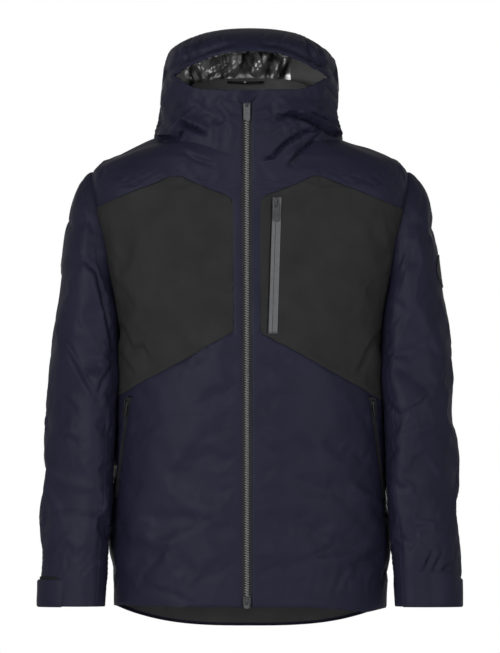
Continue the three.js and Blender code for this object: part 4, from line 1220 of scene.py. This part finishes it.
def cuff_band(side, start, end, low, tops, layer, slant=0.0, puff=0.0):
    """A band round the front of a cuff between angles from the outer edge; tops are heights along it."""
    share = np.linspace(0, 1, BAND_COLUMNS)[None, :]
    high = np.interp(share, np.linspace(0, 1, len(tops)), tops)
    up = np.linspace(0, 1, BAND_ROWS)[:, None]
    z = low + (high - low) * up
    lean = slant * (up - 0.5)
    angle = -(start + (end + lean - start) * share)
    half, centre, depth, middle = sleeve_ring(z)
    power = 2 / SLEEVE_ROUNDNESS
    c, s = np.cos(angle), np.sin(angle)
    ox, oy = np.sign(c) * np.abs(c) ** power, np.sign(s) * np.abs(s) ** power
    base = np.stack([side * (centre + half * ox), middle + depth * oy, z], -1)
    way = np.stack([side * np.sign(c) * np.abs(c) ** (2 - power) / half,
                    np.sign(s) * np.abs(s) ** (2 - power) / depth, 0 * z], -1)
    way /= np.linalg.norm(way, axis=-1, keepdims=True)
    edge = np.minimum(np.minimum(z - low, high - z) / 4.5, np.minimum(share, 1 - share) * BAND_COLUMNS / 4)
    round_off = np.sqrt(np.clip(1 - (1 - np.clip(edge, 0, 1)) ** 2, 0, 1))
    swell = puff * round_off * (1 + 0.35 * soft_noise(base, 91 + side, 34))
    thick = layer[1] - layer[0]
    top = layer[0] + thick * (0.45 + 0.55 * round_off) + swell
    return face_outward(*strip(base, (way * top[..., None], way * layer[0])))


TAB_REACH = {RIGHT: math.radians(78), LEFT: math.radians(138)}
TAB_TOPS = {RIGHT: [73.5, 73.5, 74], LEFT: [73, 82, 89, 88, 86]}
for side, letter in SIDES:
    reach = TAB_REACH[side]
    tab = cuff_band(side, 0.02, reach, 29.5, TAB_TOPS[side], (1.6, 3.6), slant=0.14, puff=1.2)
    place(make_piece(f"cuff_tab_{letter}_cloth", *tab, NAVY), f"cuff_tab_{letter}", [f"cuff_tab_{letter}"],
          "shell_navy", 0.3)
    hooks = cuff_band(side, reach - 0.5, reach - 0.06, 34, [70, 70], (1.0, 1.5))
    place(make_piece(f"tab_hook_{letter}_pile", *hooks, HOOKS), f"cuff_tab_{letter}", [f"tab_hook_{letter}"],
          "hook_and_loop")
    loops = cuff_band(side, 0.12, reach - 0.14, 36, [78, 79, 78], (0.3, 0.8))
    place(make_piece(f"cuff_loop_strip_{letter}_pile", *loops, HOOKS), f"sleeve_{letter}",
          [f"cuff_loop_strip_{letter}"], "hook_and_loop")

rings, spokes = np.array([0.01, 0.3, 0.55, 0.72, 0.76, 0.8, 0.9, 0.94, 0.98, 1.0]), 48
turn = np.linspace(0, 2 * math.pi, spokes, endpoint=False)
by = BADGE_DEPTH + BADGE_RADIUS * rings[:, None] * np.cos(turn)
bz = BADGE_HEIGHT + BADGE_RADIUS * rings[:, None] * np.sin(turn)
outer_x = np.interp(-bz, (-616, -456), (298, 318))
bx = outer_x - 50 * (1 - (1 - np.abs((by + 1.5) / 73) ** SLEEVE_ROUNDNESS) ** (1 / SLEEVE_ROUNDNESS))
relief = np.interp(
    rings, [0, 0.72, 0.76, 0.8, 0.9, 0.94, 0.98, 1.0], [1.5, 1.5, 1.1, 1.1, 1.1, 1.9, 1.9, 1.2])
badge_face = np.stack([bx + relief[:, None], by, bz], -1)
badge_back = np.stack([bx[-1:] - 0.6, by[-1:], bz[-1:]], -1)
badge = np.concatenate([badge_face, badge_back])[::-1]
place(make_piece("sleeve_badge_disc", badge.reshape(-1, 3), grid_faces(*badge.shape[:2]), RUBBER), "sleeve_L",
      ["sleeve_badge"], "badge_rubber")


def level_rails(xs, y, heights):
    """Level lines across the neck at one depth, one at each height."""
    return np.stack([np.stack([xs, np.full(len(xs), y), np.full(len(xs), z)], -1) for z in heights])


def sewn_band(name, rails, front, back, material, nodes, slot):
    """A flat band on the inside of the neck, as thick as front and back together."""
    band = face_outward(*strip(rails, (np.array([0, -front, 0]), np.array([0, back, 0]))))
    place(make_piece(name, *band, material), "torso", nodes, slot)


LOOP_X, LOOP_HALF, LOOP_BACK, LOOP_Z, LOOP_BOW = -8.0, 28.5, 67.6, 869.5, 6.4
share = np.linspace(-1, 1, 41)
bow = LOOP_BOW * np.clip(1 - np.abs(share) ** 3.5, 0, 1)
loop_line = np.stack([LOOP_X + LOOP_HALF * share, LOOP_BACK - 0.5 - bow, LOOP_Z - 0.8 * bow / LOOP_BOW], -1)
loop_rails = np.stack([loop_line + (0, 0, 1.9), loop_line, loop_line - (0, 0, 1.9)])
sewn_band("hanging_loop_tape", loop_rails, 1.1, 0.3, WEBBING, ["hanging_loop"], "zip_tape")
label_rails = level_rails(np.linspace(-20, 4, 13), 67.2, np.linspace(854, 838, 9))
sewn_band("neck_label_cloth", label_rails, 0.35, 0.15, LABEL, ["neck_label"], "label_white")
stitch_rails = level_rails(np.linspace(-10, -6.5, 4), LOOP_BACK - 8.2, (870.6, 868.4))
sewn_band("loop_stitch", stitch_rails, 0.5, 0.2, LABEL, [], "label_white")


# ------------------------------------------------------------------ zips
def main_place(across, up, out):
    return np.stack(np.broadcast_arrays(ZIP_X + across, -front_depth(up) - out, up), -1)


def chest_place(across, up, out):
    share = (up - CHEST_ENDS[0]) / (CHEST_ENDS[1] - CHEST_ENDS[0])
    middle = CHEST_X[0] + share * (CHEST_X[1] - CHEST_X[0])
    return np.stack(np.broadcast_arrays(middle + across, -0.991 * front_depth(up) - out, up), -1)


def hand_place(side):
    foot, up_way, out_way, across_way, _ = hand_frame(side)
    return lambda across, up, out: (
        foot + np.asarray(up)[..., None] * up_way + (np.asarray(out)[..., None] + 1) * out_way
        + np.asarray(across)[..., None] * across_way)


# A tooth: (across, up, out) from 0 to 1 at its corners, drawn in towards its crown.
TOOTH = np.array([(a, u, o) for o, t in ((0, 0), (0.62, 0), (1, 0.16)) for a, u in
                  ((t, t * 1.6), (1 - t, t * 1.6), (1 - t, 1 - t * 1.6), (t, 1 - t * 1.6))])
TOOTH_FACES = [[3, 2, 1, 0], [8, 9, 10, 11]] + [
    [k + a, k + (a + 1) % 4, k + 4 + (a + 1) % 4, k + 4 + a] for k in (0, 4) for a in range(4)]


def tooth_row(place_at, low, high, pitch, tall, across, out, start):
    """Teeth from low to high, each from across[0] to across[1] and from out[0] to out[1]."""
    feet = np.arange(low + start, high - tall, pitch)[:, None]
    a = across[0] + TOOTH[None, :, 0] * (across[1] - across[0])
    o = out[0] + TOOTH[None, :, 2] * (out[1] - out[0])
    points = place_at(a + 0 * feet, feet + TOOTH[None, :, 1] * tall, o + 0 * feet).reshape(-1, 3)
    faces = [[12 * k + v for v in face] for k in range(len(feet)) for face in TOOTH_FACES]
    return face_outward(points, faces)


def tape_strip(place_at, low, high, across, out, step=5.0, wave=0.12):
    """A woven tape along a zip, its face waved where it is away from the middle."""
    up = np.linspace(low, high, int((high - low) / step) + 2)[None, :]
    a = np.linspace(across[0], across[1], 9)[:, None]
    ripple = wave * np.sin(up / 7.3 + a) * (np.abs(a) > 5)
    face = place_at(a + 0 * up, up + 0 * a, out[1] + ripple)
    back = place_at(a + 0 * up, up + 0 * a, out[0] + 0 * ripple)
    return face_outward(*strip(face, (np.zeros(3), back - face)))


def merged(*parts):
    points, faces, count = [], [], 0
    for more_points, more_faces in parts:
        points.append(more_points)
        faces += [[v + count for v in face] for face in more_faces]
        count += len(more_points)
    return np.concatenate(points), faces


def flat_shaded(piece):
    piece.data.shade_flat()
    return piece


MAIN_ENDS, MAIN_PITCH, MAIN_TOOTH = (32.4, 842.6), 3.9, 1.8
for side, letter in SIDES:
    tape = tape_strip(main_place, *MAIN_ENDS, (side * 0.5, side * 12.5), (-2.7, -1.9))
    place(make_piece(f"main_zip_tape_{letter}_weave", *tape, TAPE), "torso", [f"main_zip_tape_{letter}"],
          "zip_tape")
    teeth = tooth_row(main_place, *MAIN_ENDS, MAIN_PITCH, MAIN_TOOTH, (-side * 0.7, side * 3.4), (-1.8, 1.3),
                      start=0.0 if side == LEFT else 1.6)
    bead = tape_strip(main_place, *MAIN_ENDS, (side * 3.0, side * 4.6), (-2.0, -0.9), step=8)
    place(flat_shaded(make_piece(f"main_zip_teeth_{letter}_row", *teeth, TEETH)), "torso",
          [f"main_zip_teeth_{letter}"], "zip_teeth")
    place(make_piece(f"main_zip_cord_{letter}", *bead, TAPE), "torso", [], "zip_tape")

COIL_PITCH, COIL_TURN = 1.3, 0.9
chest_run = (CHEST_ENDS[0] + 0.4, CHEST_ENDS[1] - 0.4)
coat = [tape_strip(chest_place, *chest_run, (half * 0.25, edge), (-0.6, 0.3), wave=0)
        for half, edge in ((RIGHT, -5.8), (LEFT, 8.4))]
place(make_piece("chest_zip_tape_coat", *merged(*coat), COATED), "torso", ["chest_zip_tape"], "coated_tape")
coil = [tooth_row(chest_place, *chest_run, COIL_PITCH, COIL_TURN, (-half * 0.3, half * 2.3), (-1.7, -0.7),
                  start=0.65 * (half > 0)) for half in (RIGHT, LEFT)]
place(flat_shaded(make_piece("chest_zip_coil_turns", *merged(*coil), COIL)), "torso", ["chest_zip_coil"],
      "zip_teeth")

for side, letter in SIDES:
    at_hand = hand_place(side)
    parts = []
    for half in (RIGHT, LEFT):
        parts.append(tape_strip(at_hand, *HAND_RUN, (half * 0.3, half * 5.6), (-2.2, -1.2), wave=0))
        parts.append(tooth_row(at_hand, *HAND_TEETH, 1.4, 1.0, (-half * 0.3, half * 2.1), (-1.3, 0.2),
                               start=0.7 * (half > 0)))
    place(flat_shaded(make_piece(f"hand_zip_{letter}_coil", *merged(*parts), TAPE)), "torso",
          [f"hand_zip_{letter}"], "zip_tape")


def refined(node, material, bevel, slot):
    """A CAD node's own solid with its edges rounded."""
    source = frame["nodes"][node]
    mesh = source.data.copy()
    mesh.materials.clear()
    mesh.materials.append(material)
    work = bmesh.new()
    work.from_mesh(mesh)
    bmesh.ops.remove_doubles(work, verts=work.verts, dist=1e-6)
    bmesh.ops.dissolve_limit(work, angle_limit=math.radians(3), verts=work.verts, edges=work.edges)
    sharp = [edge for edge in work.edges if edge.is_manifold and edge.calc_face_angle(0) > math.radians(25)]
    bmesh.ops.bevel(work, geom=sharp, offset=bevel * MM, segments=2, profile=0.6, affect="EDGES",
                    clamp_overlap=True)
    work.to_mesh(mesh)
    work.free()
    mesh.name = node + "_finished"
    mesh.shade_smooth()
    piece = new_object(node + "_finished", mesh)
    weighted = piece.modifiers.new("even", "WEIGHTED_NORMAL")
    weighted.keep_sharp = True
    return place(piece, source["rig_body"], [node], slot)


for node in ("main_slider", "lower_slider", "chest_slider", "hand_slider_R", "hand_slider_L"):
    refined(node, DARK_METAL, 0.28, "slider_metal")
for node in ("main_pull", "lower_pull"):
    refined(node, METAL, 0.35, "slider_metal")
for node in ("chest_pull", "hand_pull_R", "hand_pull_L"):
    refined(node, DARK_METAL, 0.35, "slider_metal")
foot = refined("zip_foot", DARK_METAL, 0.3, "zip_teeth")
foot_top = max(vertex.co.z for vertex in foot.data.vertices)
for vertex in foot.data.vertices:
    vertex.co.z = foot_top - 0.4 * (foot_top - vertex.co.z)
refined("storm_flap", NAVY, 0.4, "shell_navy")


# ------------------------------------------------------------------ camera, floor and light
MID_FRAME = JACKET_ORIGIN + np.array([0, 0, 477.6]) * MM
FRAME_TALL = 1.0448
CAMERA_FAR = 30.0
camera_data = bpy.data.cameras.new("camera")
camera_data.sensor_width = 36
camera_data.lens = 36 * CAMERA_FAR / FRAME_TALL
camera_data.clip_end = 100
camera = new_object("camera", camera_data)
camera.location = MID_FRAME + np.array([0, -CAMERA_FAR, 0])
camera.rotation_euler = (math.pi / 2, 0, 0)
bpy.context.scene.camera = camera


LIT_PLACE = Vector((0, 0, 0.42))


def area_light(name, place, size, power):
    """A soft light, placed in metres from the jacket's own origin and turned to the jacket's middle."""
    data = bpy.data.lights.new(name, "AREA")
    data.shape = "RECTANGLE"
    data.size, data.size_y = size
    data.energy = power
    lamp = new_object(name, data)
    lamp.location = JACKET_ORIGIN + np.array(place)
    lamp.rotation_euler = (LIT_PLACE - Vector(place)).to_track_quat("-Z", "Y").to_euler()
    lamp.visible_camera = False


area_light("key", (-1.9, -3.4, 1.2), (1.8, 1.8), 66)
area_light("fill", (2.0, -3.4, 0.8), (1.8, 2.0), 34)
area_light("behind", (0, 5.2, 0.6), (2.4, 1.2), 42)

WHITE = (1, 1, 1, 1)
FLOOR_RADIUS, FLOOR_CORNERS, FLOOR_DROP, FLOOR_GLOW = 14.0, 96, 0.9, 0.5
floor_mesh = bpy.data.meshes.new("floor")
ring = [(FLOOR_RADIUS * math.cos(a), FLOOR_RADIUS * math.sin(a), 0)
        for a in np.linspace(0, 2 * math.pi, FLOOR_CORNERS, endpoint=False)]
floor_mesh.from_pydata(ring, [], [list(range(FLOOR_CORNERS))])
floor = new_object("floor", floor_mesh)
floor.location = JACKET_ORIGIN + np.array([0, 0, -FLOOR_DROP])
floor_made, floor_tree, floor_shader = new_material("floor_pale", (0.88, 0.88, 0.89), 0.8)
floor_shader.inputs["Emission Color"].default_value = WHITE
seen = add_node(floor_tree, "LightPath")
glow = add_node(floor_tree, "Math", operation="MULTIPLY")
glow.inputs[1].default_value = FLOOR_GLOW
floor_tree.links.new(seen.outputs["Is Camera Ray"], glow.inputs[0])
floor_tree.links.new(glow.outputs[0], floor_shader.inputs["Emission Strength"])
floor_mesh.materials.append(floor_made)

AMBIENT, ZENITH_LOSS = 0.38, 0.6
world = bpy.data.worlds.new("studio")
world.use_nodes = True
sky = world.node_tree
backdrop = sky.nodes["Background"]
backdrop.inputs["Color"].default_value = WHITE
place_in_sky = add_node(sky, "TexCoord")
height_in_sky = add_node(sky, "SeparateXYZ", Vector=place_in_sky.outputs["Generated"])
dimmed = add_node(sky, "MapRange", interpolation_type="SMOOTHSTEP", Value=height_in_sky.outputs["Z"],
                  From_Min=0.1, From_Max=1.0, To_Min=AMBIENT, To_Max=AMBIENT * (1 - ZENITH_LOSS))
ray = add_node(sky, "LightPath")
strength = add_node(sky, "Math", operation="MAXIMUM")
sky.links.new(ray.outputs["Is Camera Ray"], strength.inputs[0])
sky.links.new(dimmed.outputs["Result"], strength.inputs[1])
sky.links.new(strength.outputs["Value"], backdrop.inputs["Strength"])
bpy.context.scene.world = world
bpy.context.scene.view_settings.view_transform = "Standard"
